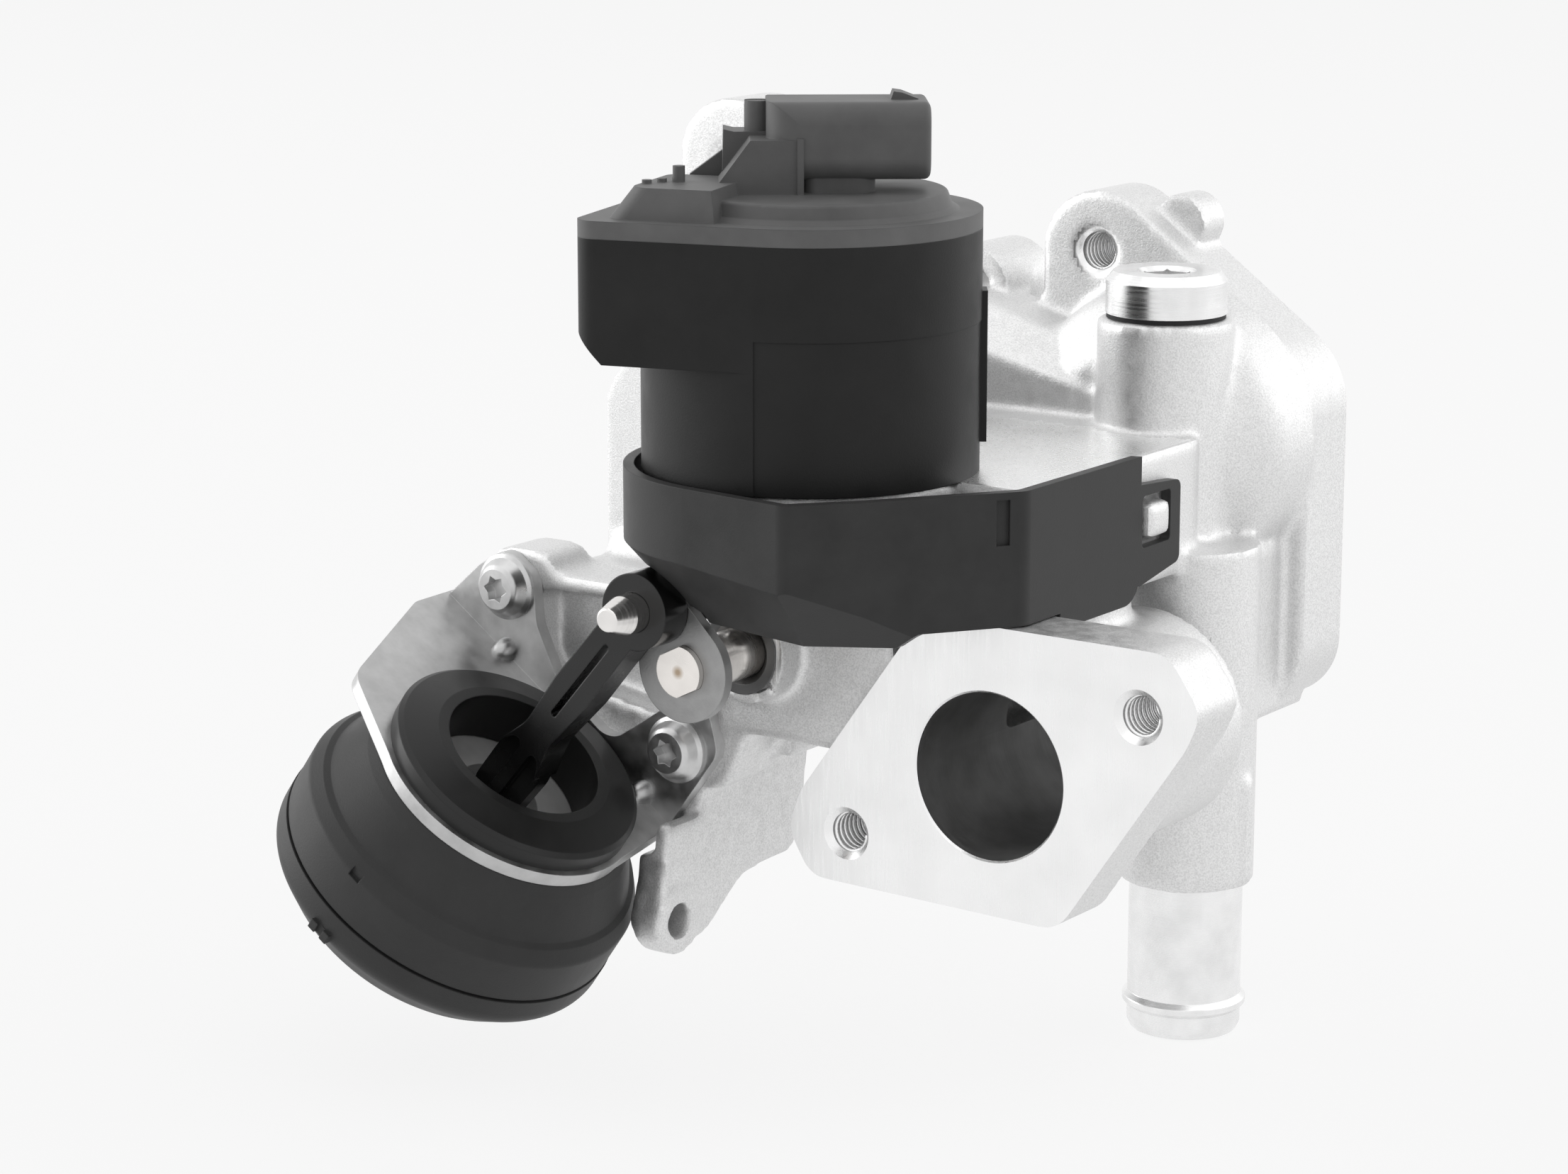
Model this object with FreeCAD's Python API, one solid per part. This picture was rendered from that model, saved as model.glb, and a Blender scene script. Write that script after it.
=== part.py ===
import FreeCAD, Part
import math
import os

# An exhaust gas recirculation valve with a cooler bypass flap, in millimetres and degrees.
# The origin is the centre of the inlet bore on the face of the inlet flange.
# X points right, Y points back into the casting and Z points up along the valve stem.

# Clearances
FIT = 0.05            # radial clearance of a pin or shaft that turns or slides
GAP = 0.3             # clearance between neighbours that don't touch
SEAL_FIT = 0.05       # side clearance of a seal in its groove

# Inlet flange and duct
INLET_R = 14.0
INLET_DEPTH = 46.0
FLANGE_T = 13.0
FLANGE_TOP = 25.0
FLANGE_BOLT_X = 27.8
FLANGE_BOLT_Z = 14.1
BOLT_R = 3.4          # minor radius of an M8 thread
BOLT_MOUTH_R = 4.5    # recess behind the rear flange's holes
DUCT_WALL = 5.0
RISER_X = -10.0
RISER_Y = 36.0
RISER_R = 9.5

# Valve block, whose deck carries the actuator
DECK_Z = 46.5
BLOCK_LEFT = -62.0
BLOCK_RIGHT = 3.0
BLOCK_FRONT = 5.0
BLOCK_BACK = 66.0
BLOCK_BOTTOM = 24.0
BOSS_R = 26.0
BOSS_FOOT_R = 20.6
BOSS_BOTTOM = 26.0
BOSS_CONE_TOP = 32.4

# Actuator
AXIS_X = -37.5
AXIS_Y = 3.5
BODY_R = 28.0
BODY_WALL = 2.4
FLOOR_T = 3.0
BODY_TOP = 86.5
LOBE_TURN = 196.0     # turn of the gear lobe about the actuator's axis
LOBE_X = 31.0
LOBE_BACK = -14.0
LOBE_BOTTOM = 66.3
LOBE_CORNER = 4.0
LOBE_CHAMFER = 5.2
STEP_Z = 71.4         # the wall is a little thinner below this height, beside the lobe
STEP_IN = 0.2
LID_RIM_T = 2.9
PLATEAU_TOP = 92.5
WING_TOP = 94.5
PLATEAU_R = 23.0
LID_WALL = 1.8
SCREW_CIRCLE = 21.5
SCREW_ANGLES = (8.0, 185.0, 262.0)
SCREW_R = 2.5
SCREW_HEAD_R = 4.0
SCREW_HEAD_H = 4.5
SCREW_DEPTH = 9.0
SEAL_RING_R = 11.0
SEAL_RING_W = 2.0
SEAL_RING_T = 1.5

# Connector on the lid, along the line to the right and back
PLUG_TURN = 37.0
SHELL_START = -7.4
SHELL_END = 19.0
SOCKET_START = 3.0
SHELL_BOTTOM = 94.6
SHELL_H = 12.5
SHELL_W = 18.0
SHELL_WALL = 1.5
SHELL_CORNER = 3.5
SHELL_SHOULDER = 5.5
TOWER_END = -1.5
TOWER_FRONT_TOP = 101.2
TOWER_BACK_TOP = 101.8
MAST_TOP = 106.7
PIN_COUNT = 5
PIN_PITCH = 2.6

# Gear train, placed in the lobe's own frame
MODULE = 0.7
MOTOR_TEETH = 12
WHEEL_TEETH = 40
IDLER_TEETH = 12
OUTPUT_TEETH = 44
WHEEL_TIP = 0.7       # tooth tip above the pitch circle, in modules
PINION_TIP = 0.8
BACKLASH = 0.12
MOTOR_AT = (-6.1, 11.8)
STEM_AT = (3.8, -7.3)
PLATE_BOTTOM = 71.5
PLATE_T = 4.0
PLATE_GAP = 0.3       # between the gear plate and the body's wall
OUTPUT_H = 4.0
WHEEL_H = 3.2
LAYER_GAP = 0.5
AXLE_R = 2.0
HUB_R = 5.0
BUSH_R = 8.5
BUSH_RIM = 0.8

# Motor
CAN_R = BODY_R - BODY_WALL - math.hypot(*MOTOR_AT) - GAP - 0.02
CAN_WALL = 0.8
MAGNET_T = 1.7
ROTOR_R = CAN_R - 3.0
SHAFT_R = 1.5
MOTOR_BUSH_R = 3.5

# Valve
SEAT_Z = 31.0
SEAT_H = 4.0
SEAT_BORE = 9.0
SEAT_R = 12.0
CHAMBER_R = 12.5
CHAMBER_TOP = 43.0
PASSAGE_Z = 21.5
POPPET_R = 10.4
POPPET_T = 2.5
LIFT = 6.0
STEM_R = 2.5
SPINDLE_R = 3.0
GUIDE_R = 5.0
GUIDE_TOP = 53.0
SEAL_TOP = 56.0
RETAINER_Z = 57.5
RETAINER_T = 1.4
RETAINER_R = 8.6
GUIDE_PIN_R = 1.5
GUIDE_PIN_OFFSET = 11.0
VALVE_SPRING_R = 7.2
VALVE_WIRE = 1.3
VALVE_COILS = 3
SPRING_STEPS = 12     # flats in one turn of a spring's wire

# Bypass duct, flap and lever
DUCT_Y = 38.0
SHAFT_X = -49.4
SHAFT_Z = 13.9
DUCT_R = 13.0
FLAP_EDGE = 0.3
FLAP_T = 1.6
FLAP_SHAFT_R = 4.4
SHAFT_FLATS = 7.6      # across the two flats on the shaft's end
FLAP_SCREW_Y = 6.0     # each side of the duct's middle
FLAP_BUSH_R = 5.5
BUSH_BOSS_R = 9.0
BUSH_FACE_Y = -0.1
SHAFT_SEAL_R = 7.3
LEVER_FRONT = -16.4
LEVER_T = 2.0
LEVER_R = 8.8
LEVER_END_R = 5.0
LEVER_ARM = 11.6
LEVER_ANGLE = 116.6
LEVER_PIN_R = 3.3
LEVER_PIN_TIP = -30.0
BYPASS_X = -79.0
COOLER_X = -16.0
COOLER_Z = 40.0
OUTLET_R = 10.5

# Rear flange
REAR_Y = 99.0
REAR_T = 14.0
REAR_BOLT_R = 3.4
REAR_BOLTS = ((-32.4, 73.2), (-113.2, 83.2), (1.5, 0.5), (-94.5, -0.5), (-58.0, 64.0))

# Coolant side
PLUG_X = -9.1
PLUG_Y = 70.0
PLUG_BOSS_R = 11.9
PLUG_BOSS_TOP = 65.5
PLUG_SEAL_T = 0.8
PLUG_HEAD_R = 10.55
PLUG_HEAD_H = 7.3
PLUG_THREAD_R = 7.5
PLUG_THREAD_L = 8.0
PLUG_HEX = 8.0
TUBE_X = -1.0
TUBE_Y = 67.0
TUBE_R = 11.8
TUBE_TOP = 27.4
TUBE_END = -33.2
COOLANT_R = 6.5
NIPPLE_R = 10.0
NIPPLE_WALL = 1.6
NIPPLE_END = -60.4
NIPPLE_BEAD_Z = -55.1
NIPPLE_GRIP = 12.0

# Vacuum pod, in its own frame: s runs up the pod's axis from the top of its collar
POD_X = -80.45
POD_Y = -19.6
POD_Z = -4.3
POD_TILT = 35.4
POD_MOUTH_R = 14.0
COLLAR_R = 22.5
COLLAR_T = 5.0
BRACKET_T = 2.5
BRACKET_R = 23.6
POD_TOP_R = 23.5
POD_R = 31.0
POD_WALL = 2.2
POD_STEP = -17.0
POD_SEAM = -27.7
DIAPHRAGM_T = 0.5
CAP_R = 31.2
CAP_FLOOR = -43.0
PISTON_TOP = -10.0
PISTON_R = 17.0
ROD_FOOT = -8.0
ROD_T = 6.0
ROD_FOOT_R = 4.75
ROD_EYE_R = 6.5
POD_SPRING_R = 10.5
POD_WIRE = 1.6
POD_COILS = 5
POD_NIPPLE_R = 3.0
POD_NIPPLE_BORE = 1.5
EAR_SCREWS = ((-30.6, 5.3), (13.4, 7.3))
EAR_SCREW_R = 2.5

# Shroud round the foot of the actuator
SHROUD_R = BODY_R + 3.0
SHROUD_WALL = 1.8
SHROUD_TOP = 47.3
SHROUD_BOTTOM = 22.6
SHROUD_FOOT_R = 20.2  # the underside slants in to this radius at the bottom
SHROUD_SLOPE = 0.88
SHROUD_END = 155.0
SHROUD_NOSE = (-19.7, -29.8)
SHROUD_CHEEK = (-10.7, -19.6)
SHROUD_PANEL_X = 5.1
SHROUD_CORNER_Y = 2.6
SHROUD_BACK = 38.5
UNDERSIDE_FRONT = -101.4   # where the cone of the underside runs out into its front plane
UNDERSIDE_TURN = 30.3
UNDERSIDE_SPOT = (-16.5, -16.8)
POCKET_BACK = 4.0     # from the right corner to the pocket's middle
TAB_BACK = 51.5

UP = FreeCAD.Vector(0, 0, 1)
BACK = FreeCAD.Vector(0, 1, 0)
RIGHT = FreeCAD.Vector(1, 0, 0)


def point(x, y, z=0.0):
    return FreeCAD.Vector(x, y, z)


def polar(radius, angle):
    turn = math.radians(angle)
    return radius * math.cos(turn), radius * math.sin(turn)


def plan(z):
    """outlines seen from above, at height z"""
    return lambda u, w: point(u, w, z)


def front(y):
    """outlines seen from the front: X to the right, Z up, at depth y"""
    return lambda u, w: point(u, y, w)


def side(x):
    """outlines in the plane across X: Y to the right, Z up"""
    return lambda u, w: point(x, u, w)


def outline(corners, to_space):
    """closed wire through (u, w) corners; a third value rounds that corner"""
    flat = [point(corner[0], corner[1]) for corner in corners]
    count = len(corners)
    turns = []
    for i, corner in enumerate(corners):
        radius = corner[2] if len(corner) > 2 else 0.0
        if radius == 0.0:
            turns.append((flat[i], None, flat[i]))
            continue
        before = (flat[i - 1] - flat[i]).normalize()
        after = (flat[(i + 1) % count] - flat[i]).normalize()
        half = before.getAngle(after) / 2
        inward = (before + after).normalize()
        reach = radius / math.tan(half)
        middle = flat[i] + inward * (radius / math.sin(half) - radius)
        turns.append((flat[i] + before * reach, middle, flat[i] + after * reach))
    edges = []
    for i in range(count):
        start, middle, stop = turns[i]
        following = turns[(i + 1) % count][0]
        if middle is not None:
            places = [to_space(p.x, p.y) for p in (start, middle, stop)]
            edges.append(Part.Arc(*places).toShape())
        if (following - stop).Length > 1e-6:
            edges.append(Part.LineSegment(to_space(stop.x, stop.y),
                                          to_space(following.x, following.y)).toShape())
    return Part.Wire(edges)


def slab(corners, to_space, depth):
    """outline pushed out by the vector depth"""
    return Part.Face(outline(corners, to_space)).extrude(depth)


def block(low, high):
    size = high - low
    return Part.makeBox(size.x, size.y, size.z, low)


def rod(radius, start, end):
    along = end - start
    return Part.makeCylinder(radius, along.Length, start, along)


def post(radius, x, y, low, high):
    """upright cylinder"""
    return rod(radius, point(x, y, low), point(x, y, high))


def tube(outer, inner, start, end):
    return rod(outer, start, end).cut(rod(inner, start, end))


def turned(profile, base=point(0, 0, 0), along=UP):
    """(radius, height) profile spun about the axis that leaves base along the given vector"""
    wire = outline(profile, lambda radius, height: point(radius, 0, height))
    solid = Part.Face(wire).revolve(point(0, 0, 0), UP, 360)
    solid.Placement = FreeCAD.Placement(base, FreeCAD.Rotation(UP, along))
    return solid


def channel(start, end, width, low, high):
    """level gas way with round ends between two (x, y) places"""
    ax, ay = start
    bx, by = end
    length = math.hypot(bx - ax, by - ay)
    half = width / 2
    way = block(point(0, -half, low), point(length, half, high))
    way.Placement = FreeCAD.Placement(point(ax, ay), FreeCAD.Rotation(UP,
                                                            math.degrees(math.atan2(by - ay, bx - ax))))
    return way.fuse([post(half, ax, ay, low, high), post(half, bx, by, low, high)])


def joined(shapes):
    return shapes[0].multiFuse(shapes[1:]) if len(shapes) > 1 else shapes[0]


def group(shapes):
    return Part.makeCompound(shapes)


def turn_about(shape, turn, x=0.0, y=0.0):
    """turned about Z, then moved to (x, y)"""
    placed = shape.copy()
    placed.Placement = FreeCAD.Placement(point(x, y), FreeCAD.Rotation(UP, turn)).multiply(placed.Placement)
    return placed


def save(name, shape):
    shape.exportStep(os.path.join("parts", name + ".step"))


# Places that follow from the driving dimensions

def lobe_to_world(spot):
    """(x, y) of a place given in the lobe's frame"""
    turn = math.radians(LOBE_TURN)
    x, y = spot
    return (AXIS_X + x * math.cos(turn) - y * math.sin(turn),
            AXIS_Y + x * math.sin(turn) + y * math.cos(turn))


def meeting(first, first_radius, second, second_radius):
    """place at the two given distances from two places, on the left of the line between them"""
    dx = second[0] - first[0]
    dy = second[1] - first[1]
    span = math.hypot(dx, dy)
    along = (first_radius**2 - second_radius**2 + span**2) / (2 * span)
    off = math.sqrt(first_radius**2 - along**2)
    return (first[0] + (dx * along - dy * off) / span, first[1] + (dy * along + dx * off) / span)


PINION_REACH = MODULE * (MOTOR_TEETH + WHEEL_TEETH) / 2
OUTPUT_REACH = MODULE * (IDLER_TEETH + OUTPUT_TEETH) / 2
IDLER_AT = meeting(STEM_AT, OUTPUT_REACH, MOTOR_AT, PINION_REACH)
if IDLER_AT[0] < STEM_AT[0]:
    IDLER_AT = meeting(MOTOR_AT, PINION_REACH, STEM_AT, OUTPUT_REACH)
STEM_X, STEM_Y = lobe_to_world(STEM_AT)
MOTOR_X, MOTOR_Y = lobe_to_world(MOTOR_AT)
IDLER_X, IDLER_Y = lobe_to_world(IDLER_AT)
FLOOR_Z = DECK_Z + FLOOR_T
GUIDE_PIN_FOOT = DECK_Z + SEAL_RING_T + 0.2
PLATE_TOP = PLATE_BOTTOM + PLATE_T
OUTPUT_Z = PLATE_TOP + BUSH_RIM + 0.2
WHEEL_Z = OUTPUT_Z + OUTPUT_H + LAYER_GAP
RIM_TOP = BODY_TOP + LID_RIM_T
ARM_X, ARM_Z = polar(LEVER_ARM, LEVER_ANGLE)
PIN_X = SHAFT_X + ARM_X
PIN_Z = SHAFT_Z + ARM_Z
BRACKET_S = -COLLAR_T - BRACKET_T
MOUNT_FACE = POD_Y + BRACKET_R - 0.6 + BRACKET_T


def pod_place(shape):
    """from the pod's frame, where Z is its axis, into the world"""
    placed = shape.copy()
    turn = FreeCAD.Rotation(BACK, POD_TILT)
    placed.Placement = FreeCAD.Placement(point(POD_X, POD_Y, POD_Z), turn).multiply(placed.Placement)
    return placed


def pod_point(x, y, s):
    turn = FreeCAD.Rotation(BACK, POD_TILT)
    return point(POD_X, POD_Y, POD_Z) + turn.multVec(point(x, y, s))


# Casting

def flange_body():
    corners = [(-13, FLANGE_TOP, 5), (33, FLANGE_TOP, 6), (39.2, 16, 5), (36.5, 10, 8), (13.5, -23.5, 6),
               (-35, -22.6, 5), (-39.6, -15, 5), (-37, -8, 8)]
    return slab(corners, front(0), BACK * FLANGE_T)


def inlet_side():
    duct = rod(INLET_R + DUCT_WALL, point(0, FLANGE_T - 2, 0), point(0, INLET_DEPTH + DUCT_WALL, 0))
    riser = post(RISER_R + 3.4, RISER_X, RISER_Y, -8, BLOCK_BOTTOM + 2)
    return [flange_body(), duct, riser]


def valve_block():
    corners = [(BLOCK_LEFT, BLOCK_FRONT, 3), (BLOCK_RIGHT, BLOCK_FRONT, 2), (BLOCK_RIGHT, BLOCK_BACK, 7),
               (BLOCK_LEFT, BLOCK_BACK)]
    body = slab(corners, plan(BLOCK_BOTTOM), UP * (DECK_Z - BLOCK_BOTTOM))
    boss = turned([(0, BOSS_BOTTOM), (BOSS_FOOT_R, BOSS_BOTTOM), (BOSS_R, BOSS_CONE_TOP), (BOSS_R, DECK_Z),
                   (0, DECK_Z)],
                  point(AXIS_X, AXIS_Y))
    sump = post(CHAMBER_R, STEM_X, STEM_Y, SHAFT_Z + FLAP_SHAFT_R + 0.5, BOSS_BOTTOM + 1)
    lug = block(point(BLOCK_RIGHT - 2, 40.0, 33), point(SHROUD_PANEL_X + 1.2, 46.5, 39))
    return [body, boss, sump, lug]


def flap_housing():
    body = rod(DUCT_R + 5, point(-26, DUCT_Y, SHAFT_Z), point(-94, DUCT_Y, SHAFT_Z))
    end = rod(DUCT_R + 5, point(-36, DUCT_Y, SHAFT_Z), point(-24, DUCT_Y + 14, SHAFT_Z + 4))
    saddle = slab([(-62, -2, 4), (-62, 27), (-22, 27), (-22, 9, 5), (-32, -2, 6)], front(BLOCK_FRONT),
                  BACK * 34)
    boss = rod(BUSH_BOSS_R, point(SHAFT_X, BUSH_FACE_Y, SHAFT_Z), point(SHAFT_X, DUCT_Y, SHAFT_Z))
    tail = rod(FLAP_BUSH_R + 3, point(SHAFT_X, DUCT_Y, SHAFT_Z), point(SHAFT_X, DUCT_Y + 23, SHAFT_Z))
    outlet = rod(OUTLET_R + 4, point(-35, DUCT_Y + 2, SHAFT_Z + 1),
                 point(COOLER_X, REAR_Y - 9, COOLER_Z - 2))
    return [body, end, saddle, boss, tail, outlet]


def left_box():
    corners = [(-96.6, -12, 8), (-96.6, 50, 10), (-88, 62, 8), (-57, 62, 6), (-57, -12, 6)]
    return slab(corners, front(24), BACK * (REAR_Y - REAR_T - 20))


def bracket_wall():
    """plate that the pod's bracket is screwed to, with a pocket in its front"""
    corners = [(-109, 6, 6), (-109, 24, 5), (-96, 24, 4), (-93, 20.5, 4), (-50, 20.5), (-50, 2),
               (-57, -13, 5),
               (-72, -13, 5), (-100, -3, 8)]
    wall = slab(corners, front(MOUNT_FACE), BACK * 11)
    rear = slab([(-99, -4, 5), (-99, 21, 4), (-50, 21), (-50, -8), (-84, -8, 5)], front(MOUNT_FACE + 10),
                BACK * 9)
    return [wall, rear]


def leg():
    """wall below the bracket, with the lug for a support screw at its foot"""
    corners = [(MOUNT_FACE, -2), (40, -2), (36, -26, 4), (33.3, -30.7, 4), (18.2, -31.4, 10), (7.9, -39, 6),
               (-1, -41.1), (-7.1, -35.1), (-4.4, -27, 8), (-3.4, -18, 2), (MOUNT_FACE, -18)]
    wall = slab(corners, side(-68.5), RIGHT * 6.5)
    lug = rod(6.0, point(-67.5, -1.1, -35.1), point(-61.4, -1.1, -35.1))
    return [wall, lug]


def rear_plate():
    corners = [(11.2, -7, 12), (11.2, 55.4, 16), (-43.9, 95.0, 11.5), (-43.9, 61, 5), (-101, 61, 6),
               (-101, 95.5, 11),
               (-125.5, 95.5, 11.5), (-125.5, 72, 12), (-104, 36, 16), (-104, -9, 14), (-60, -9, 8),
               (-30, -4, 8)]
    plate = slab(corners, front(REAR_Y - REAR_T), BACK * REAR_T)
    boss = rod(8.5, point(-58, REAR_Y - REAR_T - 2, 64), point(-58, REAR_Y, 64))
    dome_profile = [(0, 0), (17, 0, 9), (26.5, 9, 8), (28.2, 19), (0, 19)]
    dome = turned(dome_profile, point(COOLER_X, REAR_Y - REAR_T - 18, COOLER_Z + 2), BACK)
    nub = rod(5.2, point(-19.5, REAR_Y - 7, 78.5), point(-19.5, REAR_Y, 78.5))
    bridge = block(point(-30, REAR_Y - 6, 62), point(-17, REAR_Y, 80))
    return [plate, boss, dome, nub, bridge]


def coolant_side():
    plug_boss = post(PLUG_BOSS_R, PLUG_X, PLUG_Y, 20, PLUG_BOSS_TOP)
    lower = post(TUBE_R, TUBE_X, TUBE_Y, TUBE_END, TUBE_TOP)
    web = block(point(TUBE_X - 7, TUBE_Y, -6), point(TUBE_X + 8, REAR_Y - 5, 25))
    seam = block(point(TUBE_X + TUBE_R - 1, TUBE_Y - 1.2, TUBE_END + 1),
                 point(TUBE_X + TUBE_R + 0.9, TUBE_Y + 1.2, -14))
    return [plug_boss, lower, web, seam, arm()]


def arm():
    """beam along the back of the deck that climbs to the left, with a sloping top"""
    ends = []
    for x, crease, ridge in ((-12, 48.9, 53.6), (-66, 62.2, 68.7)):
        corners = [(BLOCK_BACK, 26), (BLOCK_BACK, crease), (BLOCK_BACK + 9, ridge, 3),
                   (REAR_Y - 10, ridge), (REAR_Y - 10, 26)]
        ends.append(outline(corners, side(x)))
    return Part.makeLoft(ends, True, True)


def gas_ways():
    seat_floor = SEAT_Z - SEAT_H
    ways = [rod(INLET_R, point(0, -1, 0), point(0, INLET_DEPTH, 0))]
    ways.append(post(RISER_R, RISER_X, RISER_Y, 0, CHAMBER_TOP))
    ways.append(channel((RISER_X, RISER_Y), (STEM_X, STEM_Y), 2 * RISER_R, SEAT_Z, CHAMBER_TOP))
    ways.append(post(CHAMBER_R, STEM_X, STEM_Y, SEAT_Z, CHAMBER_TOP))
    ways.append(post(SEAT_R, STEM_X, STEM_Y, seat_floor, SEAT_Z + 1))
    ways.append(channel((STEM_X, STEM_Y), (-33, DUCT_Y - 2), 2 * SEAT_BORE - 3, PASSAGE_Z, seat_floor))
    ways.append(post(SEAT_BORE, STEM_X, STEM_Y, PASSAGE_Z, seat_floor + 1))
    ways.append(rod(DUCT_R, point(-34, DUCT_Y, SHAFT_Z), point(BYPASS_X, DUCT_Y, SHAFT_Z)))
    ways.append(rod(DUCT_R, point(BYPASS_X, DUCT_Y, SHAFT_Z), point(BYPASS_X, REAR_Y + 1, SHAFT_Z)))
    ways.append(rod(OUTLET_R, point(-35, DUCT_Y + 2, SHAFT_Z + 1),
                    point(COOLER_X, REAR_Y - 9, COOLER_Z - 2)))
    ways.append(rod(DUCT_R, point(COOLER_X, REAR_Y - 16, COOLER_Z), point(COOLER_X, REAR_Y + 1, COOLER_Z)))
    return ways


def coolant_ways():
    ways = [post(COOLANT_R, TUBE_X, TUBE_Y, TUBE_END - 1, 14 + COOLANT_R)]
    ways.append(post(NIPPLE_R - 0.5, TUBE_X, TUBE_Y, TUBE_END - 1, TUBE_END + NIPPLE_GRIP))
    ways.append(rod(COOLANT_R, point(TUBE_X, TUBE_Y, 14), point(TUBE_X, REAR_Y + 1, 14)))
    ways.append(post(PLUG_THREAD_R, PLUG_X, PLUG_Y, PLUG_BOSS_TOP - PLUG_THREAD_L - 1.5, PLUG_BOSS_TOP + 1))
    vent = PLUG_BOSS_TOP - PLUG_THREAD_L
    ways.append(rod(3.0, point(PLUG_X, PLUG_Y, vent), point(PLUG_X, REAR_Y + 1, vent)))
    return ways


def flange_bolt_holes():
    holes = []
    for sign in (1, -1):
        start = point(sign * FLANGE_BOLT_X, 0, sign * FLANGE_BOLT_Z)
        holes.append(rod(BOLT_R, start - BACK, start + BACK * (FLANGE_T + 1)))
    return holes


def rear_bolt_holes():
    holes = []
    for x, z in REAR_BOLTS:
        start = point(x, REAR_Y - REAR_T, z)
        holes.append(rod(REAR_BOLT_R, start - BACK * 3, start + BACK * (REAR_T + 1)))
        holes.append(turned([(0, -3), (BOLT_MOUTH_R, -3), (BOLT_MOUTH_R, 0), (BOLT_R, 1.1), (0, 1.1)],
                            start, BACK))
    return holes


def deck_holes():
    holes = [post(GUIDE_R, STEM_X, STEM_Y, CHAMBER_TOP - 1, DECK_Z + 1)]
    for angle in SCREW_ANGLES:
        dx, dy = polar(SCREW_CIRCLE, angle)
        holes.append(post(SCREW_R + FIT, AXIS_X + dx, AXIS_Y + dy, DECK_Z - SCREW_DEPTH - 1, DECK_Z + 1))
    return holes


def shaft_holes():
    front_bush = rod(FLAP_BUSH_R, point(SHAFT_X, 8, SHAFT_Z), point(SHAFT_X, DUCT_Y, SHAFT_Z))
    back_bush = rod(FLAP_BUSH_R, point(SHAFT_X, DUCT_Y, SHAFT_Z), point(SHAFT_X, DUCT_Y + 20, SHAFT_Z))
    mouth = rod(SHAFT_SEAL_R, point(SHAFT_X, BUSH_FACE_Y - 1, SHAFT_Z), point(SHAFT_X, 8, SHAFT_Z))
    notch = block(point(SHAFT_X + 4.0, BUSH_FACE_Y - 1, SHAFT_Z - 9.6),
                  point(SHAFT_X + 5.6, 2.5, SHAFT_Z - 5))
    return [front_bush, back_bush, mouth, notch]


def bracket_holes():
    holes = []
    for x, s in EAR_SCREWS:
        centre = pod_point(x, 0, s)
        holes.append(rod(EAR_SCREW_R + FIT, point(centre.x, MOUNT_FACE - 1, centre.z),
                         point(centre.x, MOUNT_FACE + 10, centre.z)))
    pocket = slab([(-97.5, 3, 4), (-97.5, 17.5, 3), (-62.5, 17.5, 3), (-62.5, -1, 3), (-74, -1, 5)],
                  front(MOUNT_FACE - 1), BACK * 7)
    foot_room = block(point(-70, -8, -23.4), point(-65.4, MOUNT_FACE, -17))
    ear_room = block(point(-62.4, 2, -3), point(-57.2, MOUNT_FACE, 3.1))
    return holes + [pocket, foot_room, ear_room]


def make_valve_housing():
    solids = inlet_side() + valve_block() + flap_housing() + [left_box()] + bracket_wall() + leg()
    solids += rear_plate() + coolant_side()
    cuts = gas_ways() + coolant_ways() + flange_bolt_holes() + rear_bolt_holes() + deck_holes()
    cuts += shaft_holes() + bracket_holes()
    cuts.append(rod(3.0, point(-70, -1.1, -35.1), point(-60, -1.1, -35.1)))
    cuts.append(post(PLUG_HEAD_R + 1, PLUG_X, PLUG_Y, PLUG_BOSS_TOP, PLUG_BOSS_TOP + 20))
    cuts.append(link_room())
    return joined(solids).cut(joined(cuts)).removeSplitter()


# Coolant fittings

def make_coolant_nipple():
    bore = NIPPLE_R - NIPPLE_WALL
    bead = NIPPLE_R + 0.9
    top = TUBE_END + NIPPLE_GRIP
    collar = NIPPLE_R - 0.5 - SEAL_FIT
    profile = [(bore, NIPPLE_END), (NIPPLE_R - 0.6, NIPPLE_END), (NIPPLE_R, NIPPLE_END + 1.2),
               (NIPPLE_R, NIPPLE_BEAD_Z - 1.3), (bead, NIPPLE_BEAD_Z - 0.5, 0.3),
               (bead, NIPPLE_BEAD_Z + 0.5, 0.3),
               (NIPPLE_R, NIPPLE_BEAD_Z + 1.3), (NIPPLE_R, TUBE_END), (collar, TUBE_END), (collar, top),
               (bore, top)]
    return turned(profile, point(TUBE_X, TUBE_Y))


def hexagon(width, centre, z):
    corners = [polar(width / math.sqrt(3), 60 * i) for i in range(6)]
    return outline([(centre[0] + x, centre[1] + y) for x, y in corners], plan(z))


def make_plug_screw():
    seat = PLUG_BOSS_TOP + PLUG_SEAL_T
    top = seat + PLUG_HEAD_H
    thread = PLUG_THREAD_R - SEAL_FIT
    profile = [(0, PLUG_BOSS_TOP - PLUG_THREAD_L), (thread - 1, PLUG_BOSS_TOP - PLUG_THREAD_L),
               (thread, PLUG_BOSS_TOP - PLUG_THREAD_L + 1), (thread, seat), (PLUG_HEAD_R, seat),
               (PLUG_HEAD_R, top - 1.6), (PLUG_HEAD_R - 1.2, top), (0, top)]
    body = turned(profile, point(PLUG_X, PLUG_Y))
    socket = Part.Face(hexagon(PLUG_HEX, (PLUG_X, PLUG_Y), top - 5)).extrude(UP * 6)
    mouth = turned([(0, 0), (PLUG_HEX / 2 + 0.3, 0), (PLUG_HEX / 2 + 1.1, 0.8), (0, 0.8)],
                   point(PLUG_X, PLUG_Y, top - 0.8))
    return body.cut(joined([socket, mouth]))


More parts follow.
